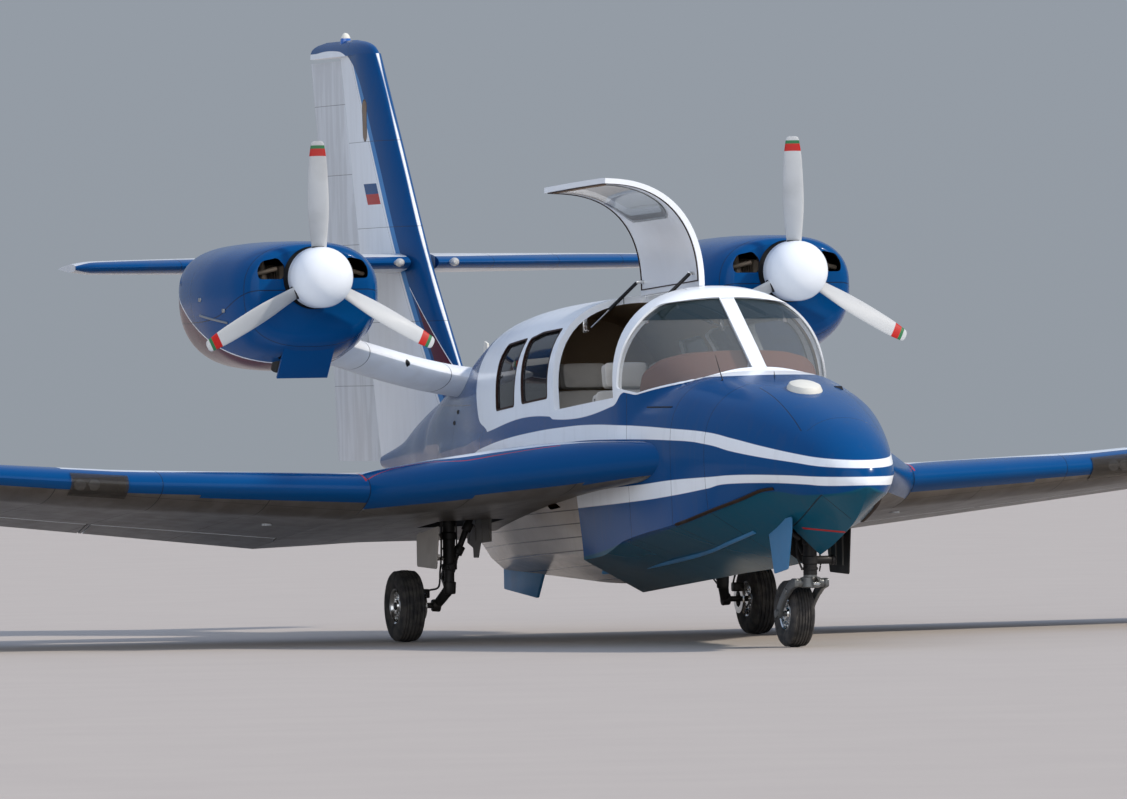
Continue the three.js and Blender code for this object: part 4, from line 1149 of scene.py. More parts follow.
def wingRing(part, x):
    row = wingRow(part, x)
    leadY, leadZ, trailY, trailZ = row[:4]
    chord, deepest = trailY - leadY, row[6]
    stops = [deepest * (1 - math.cos(math.pi / 2 * i / 10)) for i in range(1, 11)]
    stops += [deepest + (chord - deepest) * i / 14 for i in range(1, 15)]
    top, bottom = [], []
    for s in stops:
        up, down = wingDepths(row, s)
        level = leadZ + (trailZ - leadZ) * s / chord
        top.append(Vector((x, leadY + s, level + up)))
        bottom.append(Vector((x, leadY + s, level - down)))
    return [Vector((x, leadY, leadZ))] + top + bottom[::-1]


def underMarked(mesh, level=-0.86):
    for face in mesh.faces:
        if face.normal.z < level:
            face.material_index = 1
    return mesh


def wingSkin(part, spans):
    mesh = skinOver([wingRing(part, x) for x in spans])
    mesh.normal_update()
    return underMarked(mesh)


def hingeOf(x):
    row = wingRow("outer", x)
    leadY, leadZ, trailY, trailZ = row[:4]
    chord = trailY - leadY
    s = chord * (1 - wing["surfaceChord"])
    up, down = wingDepths(row, s)
    return Vector((x, leadY + s, leadZ + (trailZ - leadZ) * s / chord + (up - down) / 2)), (up + down) / 2


def surfaceZone(span, room):
    (a, first), (b, last) = [hingeOf(x) for x in span]
    along = (b - a).normalized()
    aft = (Vector((0, 1, 0)) - along * along.y).normalized()
    up = along.cross(aft)
    spare = wing["endGap"] if room > 0 else 0
    rings = []
    for spot, half in ((a - along * spare, first + room), (b + along * spare, last + room)):
        arc = [(-half * math.sin(math.pi * i / 16), half * math.cos(math.pi * i / 16)) for i in range(17)]
        rings.append([spot + aft * back + up * lift for back, lift in
                      [(0, 0.3)] + arc + [(0, -0.3), (1.2, -0.3), (1.2, 0.3)]])
    return skinOver(rings)


def bothWings(mesh, name, material, slot, node=None, body=None):
    pairOf(mesh, name, material, slot, [node] if node else [], body, 30)


def outerWing():
    spans = stations(wing["centre"][-1][0] + wing["gap"], 6.2, 0.16)
    return wingSkin("outer", spans + [6.25, 6.28, 6.31, 6.33, 6.342, 6.352, 6.358, 6.36])


centreWing = wingSkin("centre", stations(0.38, 1.71 - wing["gap"], 0.07))
centreWing = carved(centreWing, cabinHollow(inset=0.03, floor=0.7))
centreWing = carved(centreWing, marked(cuboid((0.58, 4.93, 0.4), (0.99, 5.42, 0.791)), 2))
bothWings(centreWing, "centreWing", [wingPaint, wingUnderside, gearMetal], "blue_paint", "centre_wing")
cutWing = outerWing()
for span in (wing["flap"], wing["aileron"]):
    cutWing = carved(cutWing, marked(surfaceZone(span, wing["surfaceGap"]), 1))
cutWing = carved(cutWing, marked(cuboid(*wing["lampBay"]), 2))
cutWing = together(cutWing, rod((2.0, 5.2, 0.72), (2.0, 5.2, 0.78), 0.032, sides=32))
bothWings(cutWing, "outerWing", [wingPaint, wingUnderside, gearMetal], "blue_paint", "outer_wing")
for name in ("flap", "aileron"):
    surface = carved(outerWing(), surfaceZone(wing[name], -0.002), "INTERSECT")
    bothWings(surface, f"{name}Skin", [whitePaint, wingUnderside, gearMetal], "white_paint", name, name)
print("wings skinned")


def noseOfWing(low, high, back, proud, rows=8):
    rings = []
    for x in stations(low, high, 0.04):
        row = wingRow("outer", x)
        leadY, leadZ, trailY, trailZ = row[:4]
        ring = []
        for i in range(-rows, rows + 1):
            s = (back if i < 0 else back * 0.36) * (1 - math.cos(math.pi / 2 * abs(i) / rows))
            up, down = wingDepths(row, s)
            lift = up if i > 0 else -down
            level = leadZ + (trailZ - leadZ) * s / (trailY - leadY)
            ring.append(Vector((x, leadY + s - proud, level + lift * (1 + proud * 6))))
        rings.append(ring)
    mesh = skinOver(rings, around=False, capped=False)
    bmesh.ops.solidify(mesh, geom=mesh.faces[:], thickness=0.004)
    bmesh.ops.recalc_face_normals(mesh, faces=mesh.faces)
    return mesh


bothWings(noseOfWing(*wing["lens"], 0.11, 0.004), "landingLens", lensGlass, "clear_glass")
lamps = together(*[turned([(0, 0), (0.034, 0.004), (0.036, 0.02), (0.024, 0.03), (0, 0.03)],
                          (x, 4.58 + (x - 3.05) * 0.372, 0.99), "Y", 24) for x in (3.23, 3.31)])
bothWings(lamps, "landingLamps", brightMetal, "alloy")
tipLamp = turned([(0, -0.07), (0.018, -0.05), (0.024, 0), (0.018, 0.05), (0, 0.07)], (6.325, 5.86, 1.242), "Y", 20)
addPiece(tipLamp.copy(), "tipLamp_port", redLamp, slot="tinted_glass")
addPiece(otherSide(tipLamp), "tipLamp_starboard", greenLamp, slot="tinted_glass")


# Nacelles: columns are station, half-width, height over and under the thrust line
nacelle = {
    "rows": [
        (5.73, 0.35, 0.174, 0.34), (5.75, 0.39, 0.198, 0.382), (5.8, 0.422, 0.212, 0.418),
        (5.95, 0.47, 0.225, 0.48), (6.4, 0.52, 0.23, 0.56), (6.9, 0.49, 0.222, 0.545), (7.3, 0.38, 0.2, 0.43),
        (7.6, 0.21, 0.15, 0.27), (7.72, 0.09, 0.09, 0.13),
    ],
    "x": 1.52, "z": 2.21, "middle": -0.09, "power": 2.5,
    "intake": [(0.185, -0.005), (0.18, 0.075), (0.225, 0.125), (0.32, 0.105), (0.352, 0.05), (0.345, -0.005)],
}


def nacelleRing(station, grow=0.0, count=64):
    half, top, bottom = smoothRow(nacelle["rows"], station)
    ring = []
    for i in range(count):
        angle = math.tau * i / count
        c, si = math.cos(angle), math.sin(angle)
        share = 2 / nacelle["power"]
        reach = (top - nacelle["middle"] if si > 0 else bottom + nacelle["middle"]) + grow
        ring.append(Vector((nacelle["x"] + math.copysign(abs(c) ** share, c) * (half + grow), station,
                            nacelle["z"] + nacelle["middle"] + math.copysign(abs(si) ** share, si) * reach)))
    return ring


def nacelleBody(grow=0.0, low=5.73, high=7.72):
    return skinOver([nacelleRing(y, grow) for y in
                     [low, low + 0.006, low + 0.02] + stations(low + 0.04, high - 0.12, 0.06)
                     + [high - 0.07, high - 0.03, high]])


def intakeCutter(side):
    outline = [(nacelle["x"] + side * x, nacelle["z"] + z) for x, z in nacelle["intake"]]
    return marked(prism(outline, 5.6, 5.8, 0.02, 5, "Y"), 2)


cowl = carved(nacelleBody(), marked(nacelleBody(-0.025, 5.75, 7.45), 1))
for cutter in (
    intakeCutter(1),
    intakeCutter(-1),
    marked(turned([(0, 5.62), (0.191, 5.62), (0.191, 5.745), (0.15, 5.745), (0.15, 5.82), (0, 5.82)],
                  (nacelle["x"], 0, nacelle["z"]), "Y", 48), 2),
    marked(cuboid((nacelle["x"] - 0.15, 5.85, 1.5), (nacelle["x"] + 0.15, 6.01, 1.85), 0.012), 2),
):
    cowl = carved(cowl, cutter)
bothWings(cowl, "cowl", [nacellePaint, recessShade, recessShade, recessShade], "blue_paint", "cowling")


def nacelleSide(station, level):
    half, top, bottom = smoothRow(nacelle["rows"], station)
    up = level - nacelle["z"] - nacelle["middle"]
    reach = top - nacelle["middle"] if up > 0 else bottom + nacelle["middle"]
    return nacelle["x"] + half * (1 - abs(up / reach) ** nacelle["power"]) ** (1 / nacelle["power"])


catch = [Vector((nacelleSide(y, z) + 0.002, y, z)) for y, z in
         ((6.02, 1.945), (6.12, 1.958), (6.22, 1.97), (6.32, 1.983), (6.42, 1.995))]
latches = [tube(catch, 0.007, 10)]
for y, z in ((6.04, 2.02), (6.4, 2.09)):
    x = nacelleSide(y, z)
    latches.append(cuboid((x - 0.006, y - 0.022, z - 0.012), (x + 0.006, y + 0.022, z + 0.012), 0.004))
bothWings(together(*latches), "cowlLatches", bareMetal, "alloy")
flapOutline = [(5.818, 1.802), (5.838, 1.802), (6.012, 1.612), (6.0, 1.602)]
cowlFlap = prism(flapOutline, nacelle["x"] - 0.16, nacelle["x"] + 0.16, 0.003, 2)
bothWings(cowlFlap, "cowlFlap", nacellePaint, "blue_paint")
exhausts = together(*[rod((nacelle["x"] + x, 6.02, 1.8), (nacelle["x"] + x, 6.14, 1.66), 0.034, 0.034, 24)
                      for x in (-0.12, 0.12)])
bothWings(exhausts, "exhausts", gearMetal, "gear_metal")
print("nacelles shaped")


# Propellers: columns are radius, chord, thickness and twist in degrees
propeller = {
    "rows": [(0.06, 0.07, 0.06, 50), (0.21, 0.105, 0.04, 42), (0.42, 0.13, 0.024, 30),
             (0.65, 0.115, 0.016, 22), (0.79, 0.085, 0.011, 18), (0.825, 0.04, 0.008, 17)],
    "disc": 5.6, "tipY": 5.37, "spinner": 0.185, "spinnerLength": 0.2,
}


def bladeMesh(turn):
    rings = []
    for radius in stations(0.06, 0.79, 0.04) + [0.803, 0.813, 0.82, 0.825]:
        chord, thick, twist = smoothRow(propeller["rows"], radius)
        if radius > 0.79:
            chord = 0.04 + 0.045 * math.sqrt(max(0.0, 1 - ((radius - 0.79) / 0.035) ** 2))
        ring = []
        for i in range(20):
            around = math.tau * i / 20
            along, across = chord / 2 * math.cos(around), thick / 2 * math.sin(around)
            ring.append(Matrix.Rotation(-math.radians(twist), 3, "Z") @ Vector((along, across, 0)))
        rings.append([Vector((p.x, p.y, radius)) for p in ring])
    return moved(skinOver(rings), turn=turn, axis="Y")


def addPropeller(x, side):
    blades = together(*[bladeMesh(i * math.tau / 3) for i in range(3)])
    layer = blades.loops.layers.uv.new("span")
    for face in blades.faces:
        for loop in face.loops:
            spot = loop.vert.co
            loop[layer].uv = (0.0, math.hypot(spot.x, spot.z))
    moved(blades, (x, propeller["disc"], nacelle["z"]))
    addPiece(blades, f"blades_{side}", bladePaint, f"propeller_{side}", "white_paint", [f"propeller_{side}"])
    profile = [(0.0, 0.0)]
    for i in range(1, 17):
        t = i / 16
        along = propeller["spinnerLength"] * (0.55 * (1 - math.sqrt(1 - t)) + 0.45 * t)
        profile.append((propeller["spinner"] * math.sqrt(1 - (1 - t) ** 2), along))
    profile += [(0.1855, 0.28), (0.18, 0.288), (0.125, 0.288), (0.125, 0.33), (0.0, 0.33)]
    spinner = turned(profile, (x, propeller["tipY"], nacelle["z"]), "Y", 64)
    addPiece(spinner, f"spinner_{side}", whitePaint, f"propeller_{side}", "white_paint")
    cuffs = []
    for i in range(3):
        ray = Matrix.Rotation(i * math.tau / 3, 3, "Y") @ Vector((0, 0, 1))
        centre = Vector((x, propeller["disc"], nacelle["z"]))
        cuffs.append(rod(centre + ray * 0.12, centre + ray * 0.1885, 0.046, 0.043, 32, 0.002))
    addPiece(together(*cuffs), f"bladeCuffs_{side}", gearMetal, f"propeller_{side}", "gear_metal")


addPropeller(nacelle["x"], "port")
addPropeller(-nacelle["x"], "starboard")


# Pylons
def foil(steps, deepest, blunt):
    side = []
    for i in range(1, steps + 1):
        s = 1 - math.cos(math.pi / 2 * i / steps)
        side.append((s, math.sqrt(max(0.0, 1 - (1 - s / deepest) ** 2)) if s < deepest
                     else 1 - (1 - blunt) * ((s - deepest) / (1 - deepest)) ** 1.3))
    return [(0.0, 0.0)] + side + [(s, -r) for s, r in reversed(side)]


def pylonRing(x, y, z, chord, thick, tilt):
    return [Vector((x, y + s * chord, z - s * tilt + r * thick / 2)) for s, r in foil(20, 0.35, 0.06)]


pylonRows = [(0.1, 5.95, 1.54, 1.31, 0.19, 0.04), (0.5, 6.01, 1.6, 1.25, 0.185, 0.04),
             (1.25, 6.1, 1.815, 1.05, 0.18, 0.04)]
pylon = skinOver([pylonRing(x, *smoothRow(pylonRows, x)) for x in stations(0.1, 1.25, 0.05)])
bothWings(pylon, "pylonSkin", pylonPaint, "white_paint", "pylon")


# Fin, rudder and tailplane
def hingeStation(z):
    return 9.2 + 0.768 * (z - 1.07) / 2.58


def finRing(z, lead, trail, half, deepest=0.35, blunt=0.4):
    return [Vector((r * half, lead + s * (trail - lead), z)) for s, r in foil(18, deepest, blunt)]


finRows = [(1.05, 7.01, 0.097), (1.3, 7.25, 0.095), (1.7, 7.64, 0.092), (2.36, 8.25, 0.084), (3.0, 8.73, 0.076),
           (3.665, 9.232, 0.066)]
capRows = [(3.656, 9.226, 10.6, 0.066), (3.7, 9.29, 10.6, 0.056), (3.735, 9.42, 10.52, 0.038),
           (3.757, 9.65, 10.3, 0.014)]
finMesh = skinOver([finRing(z, smoothRow(finRows, z)[0], hingeStation(z), smoothRow(finRows, z)[1])
                    for z in stations(1.05, 3.66, 0.08)])
finMesh = carved(finMesh, marked(rod((0, hingeStation(1.0), 1.0), (0, hingeStation(3.7), 3.7), 0.062, 0.048, 32), 1))
finMesh = carved(finMesh, rod((-0.2, 8.9, 2.32), (0.2, 8.9, 2.32), 0.046, sides=32))
capMesh = skinOver([finRing(z, *smoothRow(capRows, z), 0.3, 0.4) for z in
                    [3.656, 3.665, 3.68, 3.7, 3.715, 3.73, 3.742, 3.75, 3.755, 3.757]])
addPiece(together(finMesh, capMesh), "finSkin", [finPaint, recessShade], slot="white_paint", replaced=["fin"])
beaconRows = [(0.0, 0.06), (0.013, 0.056), (0.024, 0.044), (0.032, 0.024), (0.035, 0.0), (0.036, -0.03), (0, -0.03)]
beacon = turned(beaconRows, (0, 9.91, 3.75), "Z", 32)
for face in beacon.faces:
    face.material_index = int(face.calc_center_median().z > 3.778)
addPiece(beacon, "beacon", [blueLamp, antennaWhite], slot="tinted_glass")

rudderRows = [(1.072, 10.195, 0.034), (1.65, 10.262, 0.044), (2.7, 10.44, 0.038), (3.63, 10.65, 0.03)]


def rudderRing(z):
    trail, half = smoothRow(rudderRows, z)
    front = hingeStation(z)
    nose = 0.034 - 0.004 * (z - 1.072) / 2.56
    ring = [(-nose * math.sin(math.pi * i / 12), nose * math.cos(math.pi * i / 12)) for i in range(13)]
    far = trail - front
    back = [(far * 0.2, -half * 0.92), (far * 0.4, -half * 0.75), (far * 0.7, -half * 0.42), (far, -0.005)]
    ring += back + [(s, -out) for s, out in reversed(back)]
    return [Vector((out, front + s, z)) for s, out in ring]


addPiece(skinOver([rudderRing(z) for z in stations(1.072, 3.63, 0.08)]), "rudderSkin", rudderPaint, "rudder",
         "white_paint", ["rudder"])


def tailRing(x):
    lead, trail, half = smoothRow([(0.092, 8.3, 9.36, 0.062), (1.95, 8.96, 9.48, 0.042),
                                   (2.06, 9.06, 9.47, 0.026)], x)
    return [Vector((x, p.y, 2.32 + p.x)) for p in finRing(0, lead, trail, half, 0.35, 0.08)]


tailHalf = skinOver([tailRing(x) for x in stations(0.092, 1.9, 0.12) + [1.95, 1.98, 2.01, 2.03, 2.045, 2.06]])
tail = together(bothSides(tailHalf), rod((-0.12, 8.9, 2.32), (0.12, 8.9, 2.32), 0.038, sides=32))
addPiece(tail, "tailplaneSkin", tailPaint, "tailplane", "white_paint", ["tailplane"])
bulletRows = [(0, 0), (0.014, 0.004), (0.025, 0.018), (0.027, 0.04), (0.022, 0.07), (0.013, 0.11), (0.014, 0.3),
              (0, 0.3)]
bullet = turned(bulletRows, (0.18, 8.215, 2.32), "Y", 32)
bulletSilver = paintedMaterial("bulletSilver", colour(0.62, 0.6, 0.56), 0.35, 0.2, 0.35, 0.1, 0.1)
addPiece(bothSides(bullet), "balanceBullets", bulletSilver, "tailplane", "alloy")
print("tail built")


# Spray rails, strakes and small things on the skin
def skinX(station, level):
    middle = sectionShapes(station, station > 4.07)[0]
    x = 0.9
    for _ in range(30):
        angle = math.atan2(level - middle, x)
        x = math.cos(angle) * fuselageReach(station, angle, station > 4.07)
    return x


outside = {
    "rail": [(0.332, 0.67, 0.924), (0.372, 0.808, 0.909), (0.425, 1.0, 0.861), (0.488, 1.25, 0.808),
             (0.543, 1.56, 0.746), (0.568, 1.72, 0.718)],
    "strake": [(0.267, 1.214, 0.672), (0.296, 1.58, 0.607), (0.282, 2.168, 0.533), (0.307, 3.016, 0.459),
               (0.336, 3.796, 0.417)],
    "dome": (-0.03, 0.98, 1.478),
    "whips": [((-0.314, 1.604, 1.545), (-0.345, 1.64, 1.694)), ((-0.062, 1.41, 1.55), (-0.062, 1.42, 1.595))],
    "steps": [(6.178, 1.38), (6.3, 1.313)],
    "latch": (1.81, 2.2, 1.398),
}
# near-black brown on the spray rails: painted shade of the strip's underside
shadedRailPaint = paintedMaterial("shadedRailPaint", colour(0.035, 0.02, 0.013), 0.0, 0.5, 0.7, 0.0, 0.5)
# paler, lit copy of the hull-bottom blue: painted light, used on the strakes, the starboard nose door and the ventral
# plate
litBottomPaint = paintedMaterial("litBottomPaint", finish["litBottomBlue"], 0.0, 0.35, 0.5, 0.1, 0.3)
addPiece(bothSides(tube(smoothPath(outside["rail"]), 0.016, 12, 0.6)), "sprayRails", shadedRailPaint, slot="blue_paint")
addPiece(bothSides(tube(smoothPath(outside["strake"]), 0.013)), "bottomStrakes", litBottomPaint, slot="blue_paint")

dome = turned([(0, 0.052), (0.062, 0.05), (0.086, 0.04), (0.098, 0.016), (0.101, -0.01), (0.101, -0.05), (0, -0.05)],
              (0, 0, 0), "Z", 40)
dome = moved(dome, outside["dome"], math.radians(12), stretch=(1.0, 1.4, 1.0))
addPiece(dome, "antennaDome", antennaWhite, slot="white_paint")
whips = []
for foot, tip in outside["whips"]:
    x, y, z = foot
    whips += [rod(foot, tip, 0.0035, 0.0015, 10), rod((x, y, z - 0.01), (x, y, z + 0.004), 0.016, 0.012, 20)]
addPiece(together(*whips), "whipAerials", plastic, slot="panel_plastic")
scoop = prism([(1.07, 1.455), (1.13, 1.505), (1.175, 1.5), (1.19, 1.455)], 0.21, 0.25, 0.006, 2)
addPiece(scoop, "ventScoop", plastic, slot="panel_plastic")
bladeAerial = prism([(6.98, 1.55), (7.03, 1.8), (7.09, 1.815), (7.16, 1.52)], -0.006, 0.006, 0.004, 2)
addPiece(bladeAerial, "bladeAerial", antennaWhite, slot="white_paint")
sideParts = []
for y, z in outside["steps"]:
    x = skinX(y, z)
    slant = (skinX(y, z - 0.03) - skinX(y, z + 0.03)) / 0.06
    step = turned([(0, 0.004), (0.017, 0.004), (0.02, 0.0), (0.02, -0.01), (0, -0.01)], (0, 0, 0), "X", 24)
    sideParts.append(moved(step, (x, y, z), -math.atan(slant), "Y", (1, 1.5, 0.75)))
low, high, level = outside["latch"]
sideParts.append(tube([Vector((skinX(y, level) + 0.001, y, level)) for y in stations(low, high, 0.05)], 0.004, 8))
addPiece(bothSides(together(*sideParts)), "sideStepsAndLatches", plastic, slot="panel_plastic")
print("skin fittings added")


# Cabin inside: glareshield, panel, controls and seats
cabin = {
    "floor": 0.7805,
    "hood": [(0.56, 1.46), (0.53, 1.6), (0.42, 1.675), (0.25, 1.712), (0.06, 1.722)],
    "hoodReach": (1.9, 2.42),
    "board": ((-0.48, 2.12, 1.15), (0.48, 2.26, 1.5)),
    "dials": [(-0.38, 1.4), (-0.27, 1.4), (-0.16, 1.4), (-0.38, 1.28), (-0.27, 1.28), (-0.16, 1.28),
              (0.16, 1.4), (0.27, 1.4), (0.38, 1.4), (0.16, 1.28), (0.27, 1.28), (0.38, 1.28)],
    "dial": 0.042,
    "yokeX": (-0.27, 0.27),
    "seats": [("front", 2.98, 0.5), ("middle", 3.75, 0.51), ("rear", 4.52, 0.47)],
}
hoodFinish = paintedMaterial("hoodFinish", colour(0.2, 0.085, 0.055), 0.0, 0.75, 0.9, 0.0, 0.1)
dialFace = paintedMaterial("dialFace", colour(0.01, 0.01, 0.011), 0.0, 0.3, 0.4, 0.2, 0.0)
dialMarks = paintedMaterial("dialMarks", colour(0.7, 0.7, 0.66), 0.0, 0.4, 0.5, 0.0, 0.0)
front, back = cabin["hoodReach"]
underCanopy = canopySkin(stations(1.86, 2.5, 0.04), 0.085, above=40)
hoodOutline = cabin["hood"] + [(-x, z) for x, z in reversed(cabin["hood"])]
hood = carved(underCanopy, prism(hoodOutline, front, back, 0.03, 4, "Y"), "INTERSECT")
addPiece(hood, "glareshield", hoodFinish, slot="panel_plastic")


def panelBoard():
    low, high = cabin["board"]
    face = high[1]
    board = [cuboid(low, high, 0.012), cuboid((-0.06, 2.13, cabin["floor"]), (0.06, 2.42, 1.2), 0.015),
             cuboid((-0.11, face - 0.01, 1.22), (0.11, face + 0.004, 1.45), 0.004)]
    board += [cuboid((-0.09, face + 0.003, z), (0.09, face + 0.009, z + 0.035), 0.002)
              for z in (1.24, 1.285, 1.33, 1.375)]
    rims, marks, faces = [], [], []
    size = cabin["dial"]
    for x, z in cabin["dials"]:
        rows = [(size, -0.01), (size, 0.006), (size + 0.006, 0.006), (size + 0.008, 0), (size + 0.008, -0.01)]
        rims.append(turned(rows + rows[:1], (x, face + 0.002, z), "Y", 32))
        faces.append(rod((x, face - 0.002, z), (x, face + 0.003, z), size, sides=32))
        for i in range(12):
            ray = Vector((math.sin(math.tau * i / 12), 0, math.cos(math.tau * i / 12)))
            spot = Vector((x, face + 0.0035, z))
            marks.append(rod(spot + ray * size * 0.78, spot + ray * size * 0.94, 0.0012, sides=4))
        needle = Vector((math.sin(x * 9 + z * 7), 0, math.cos(x * 9 + z * 7)))
        marks.append(rod((x, face + 0.004, z), Vector((x, face + 0.004, z)) + needle * size * 0.7, 0.002, 0.0008, 6))
    return together(*board), together(*rims), together(*faces), together(*marks)


boardMesh, rimMesh, faceMesh, markMesh = panelBoard()
addPiece(boardMesh, "panelBoard", plastic, slot="panel_plastic", replaced=["instrument_panel"])
addPiece(rimMesh, "dialRims", gearMetal, slot="gear_metal")
addPiece(faceMesh, "dialFaces", dialFace, slot="panel_plastic")
addPiece(markMesh, "dialMarks", dialMarks, slot="white_paint")
controls = []
for x in cabin["yokeX"]:
    controls.append(rod((x, 2.24, 1.2), (x, 2.44, 1.2), 0.013, sides=16))
    horns = [(x - 0.13, 2.46, 1.29), (x - 0.135, 2.45, 1.22), (x - 0.09, 2.45, 1.185), (x, 2.45, 1.19),
             (x + 0.09, 2.45, 1.185), (x + 0.135, 2.45, 1.22), (x + 0.13, 2.46, 1.29)]
    controls.append(tube(smoothPath(horns, 5), 0.012))
    controls += [rod((x + side, 2.1, 0.8), (x + side, 2.16, 0.95), 0.01, sides=10) for side in (-0.09, 0.09)]
    controls += [cuboid((x + side - 0.04, 2.14, 0.92), (x + side + 0.04, 2.17, 1.0), 0.008) for side in (-0.09, 0.09)]
for x in (-0.035, 0.0, 0.035):
    controls += [rod((x, 2.36, 1.19), (x, 2.38, 1.28), 0.005, sides=8),
                 rod((x, 2.372, 1.27), (x, 2.388, 1.27), 0.014, sides=16)]
addPiece(together(*controls), "flightControls", plastic, slot="panel_plastic")


def pad(centre, size, tilt=0.0, channels=True, crown=0.022):
    mesh = bmesh.new()
    bmesh.ops.create_cube(mesh, size=2)
    bmesh.ops.subdivide_edges(mesh, edges=mesh.edges[:], cuts=7, use_grid_fill=True)
    for vert in mesh.verts:
        u, v, w = vert.co
        top = w > 0
        waist = 1 - 0.05 * (1 - abs(w)) ** 2
        x, y = u * size[0] / 2 * (1 - 0.05 * v ** 4) * waist, v * size[1] / 2 * (1 - 0.05 * u ** 4) * waist
        swell = crown * (1 - u ** 4) * (1 - v ** 4)
        groove = 0.01 * max(0.0, 1 - abs(abs(u) - 0.5) * 8) + 0.008 * max(0.0, 1 - abs(v) * 8)
        z = w * (size[2] / 2 + swell * (1 if top else 0.2)) - (groove if channels and top else 0.0)
        vert.co = (x, y, z)
    return moved(mesh, centre, tilt)


def addSeats(name, y, half):
    middle, wide = (half + 0.05) / 2, half - 0.07
    cushions = pad((middle, y + 0.205, 1.065), (wide, 0.42, 0.1))
    backs = pad((middle, y + 0.465, 1.3), (wide, 0.4, 0.085), math.radians(76))
    rests = pad((middle, y + 0.545, 1.585), (wide * 0.62, 0.15, 0.075), math.radians(80), False, 0.012)
    for mesh, kind in ((cushions, "Cushions"), (backs, "Backs"), (rests, "HeadRests")):
        piece = addPiece(bothSides(mesh), f"{name}{kind}", paleLeather, slot="seat_leather",
                         replaced=[f"seats_{name}"] if kind == "Cushions" else [])
        finer = piece.modifiers.new("rounded", "SUBSURF")
        finer.levels = finer.render_levels = 1
    frames = []
    for side in (0.055, half - 0.03):
        frames.append(tube(smoothPath([(side, y + 0.06, cabin["floor"] + 0.008), (side, y + 0.08, 1.0),
                                       (side, y + 0.4, 1.0), (side, y + 0.5, 1.45)]), 0.011))
    frames += [cuboid((0.045, y + 0.02, 0.985), (half - 0.02, y + 0.42, 1.01), 0.006),
               cuboid((0.05, y + 0.04, cabin["floor"]), (half - 0.025, y + 0.38, 0.8), 0.005)]
    addPiece(bothSides(together(*frames)), f"{name}SeatFrames", gearMetal, slot="gear_metal")


for seatRow in cabin["seats"]:
    addSeats(*seatRow)
print("cabin furnished")


# Landing gear
gear = {
    "main": {"x": 1.12, "y": 5.26, "radius": 0.2175, "width": 0.15, "rim": 0.112, "grooves": 4},
    "nose": {"x": 0.0, "y": 1.31, "radius": 0.195, "width": 0.14, "rim": 0.098, "grooves": 5},
    "leg": (0.87, 5.15),
    "legTop": 0.7906,
    "legFoot": 0.3,
    "noseLeg": 1.02,
    "groove": [(0, -0.0042), (0.006, -0.003), (0.006, 0.003), (0, 0.0042)],  # depth and place across the tread
}
armPaint = paintedMaterial("armPaint", colour(0.16, 0.165, 0.165), 0.6, 0.25, 0.45, 0.0, 0.5)
doorGrey = paintedMaterial("doorGrey", colour(0.5, 0.47, 0.43), 0.2, 0.4, 0.6, 0.0, 0.3)
bayGrey = paintedMaterial("bayGrey", colour(0.2, 0.19, 0.175), 0.2, 0.4, 0.6, 0.0, 0.4)


def hub(wheel, x=None):
    return wheel["x"] if x is None else x, wheel["y"], wheel["radius"]


def axle(low, high, y, z, *shape, **more):
    return rod((low, y, z), (high, y, z), *shape, **more)


def hose(points, radius):
    return tube(smoothPath(points), radius)


def plate(yReach, zReach, xReach, corner=0.003, segments=2):
    (a, b), (low, high) = yReach, zReach
    return prism([(a, high), (b, high), (b, low), (a, low)], *xReach, corner, segments)


def tyreMesh(wheel):
    radius, half, rim, count = wheel["radius"], wheel["width"] / 2, wheel["rim"], wheel["grooves"]
    crownHalf = half * 0.62
    tread = []
    for i in range(count):
        at = -crownHalf + crownHalf * 2 * (i + 0.5) / count
        crown = radius - 0.006 * (at / crownHalf) ** 2
        tread += [(crown - deep, at + out) for deep, out in gear["groove"]]
    profile = [(rim - 0.004, -half * 0.78), (rim + 0.006, -half * 0.86), (rim + 0.02, -half * 0.93),
               (radius * 0.72, -half), (radius * 0.85, -half * 0.985), (radius * 0.93, -half * 0.9),
               (radius * 0.975, -half * 0.76), (radius - 0.008, -crownHalf)]
    side = [(r, -a) for r, a in reversed(profile)]
    return turned(profile + tread + side + [profile[0]], hub(wheel), "X", 72)


def rimMesh(wheel):
    half, rim = wheel["width"] / 2, wheel["rim"]
    profile = [(0.018, -half * 0.8), (0.034, -half * 0.8), (0.04, -half * 0.66), (rim * 0.62, -half * 0.55),
               (rim * 0.8, -half * 0.5), (rim * 0.86, -half * 0.78), (rim - 0.006, -half * 0.86), (rim, -half * 0.8),
               (rim - 0.006, -half * 0.6)]
    profile += [(r, -a) for r, a in reversed(profile)]
    parts = [turned(profile + profile[:1], (0, 0, 0), "X", 72)]
    for i in range(8):
        angle = math.tau * i / 8
        y, z = 0.055 * math.cos(angle), 0.055 * math.sin(angle)
        parts += [axle(end * half * 0.5, end * half * 0.68, y, z, 0.007, sides=6) for end in (-1, 1)]
        y, z = 0.078 * math.cos(angle + 0.39), 0.078 * math.sin(angle + 0.39)
        parts.append(axle(-half * 0.56, half * 0.56, y, z, 0.01, sides=16))
    return moved(together(*parts), hub(wheel))


def addWheel(kind, sides):
    for side in sides:
        for part, mesh, material, slot in (("Tyre", tyreMesh(gear[kind]), rubber, "tyre_rubber"),
                                           ("Rim", rimMesh(gear[kind]), brightMetal, "alloy")):
            if side == "_starboard":
                otherSide(mesh)
            body = f"main_wheel{side}" if kind == "main" else "nose_wheel"
            addPiece(mesh, f"{kind}{part}{side}", material, body, slot, [f"{kind}_{part.lower()}{side}"])


addWheel("main", ("_port", "_starboard"))
addWheel("nose", ("",))


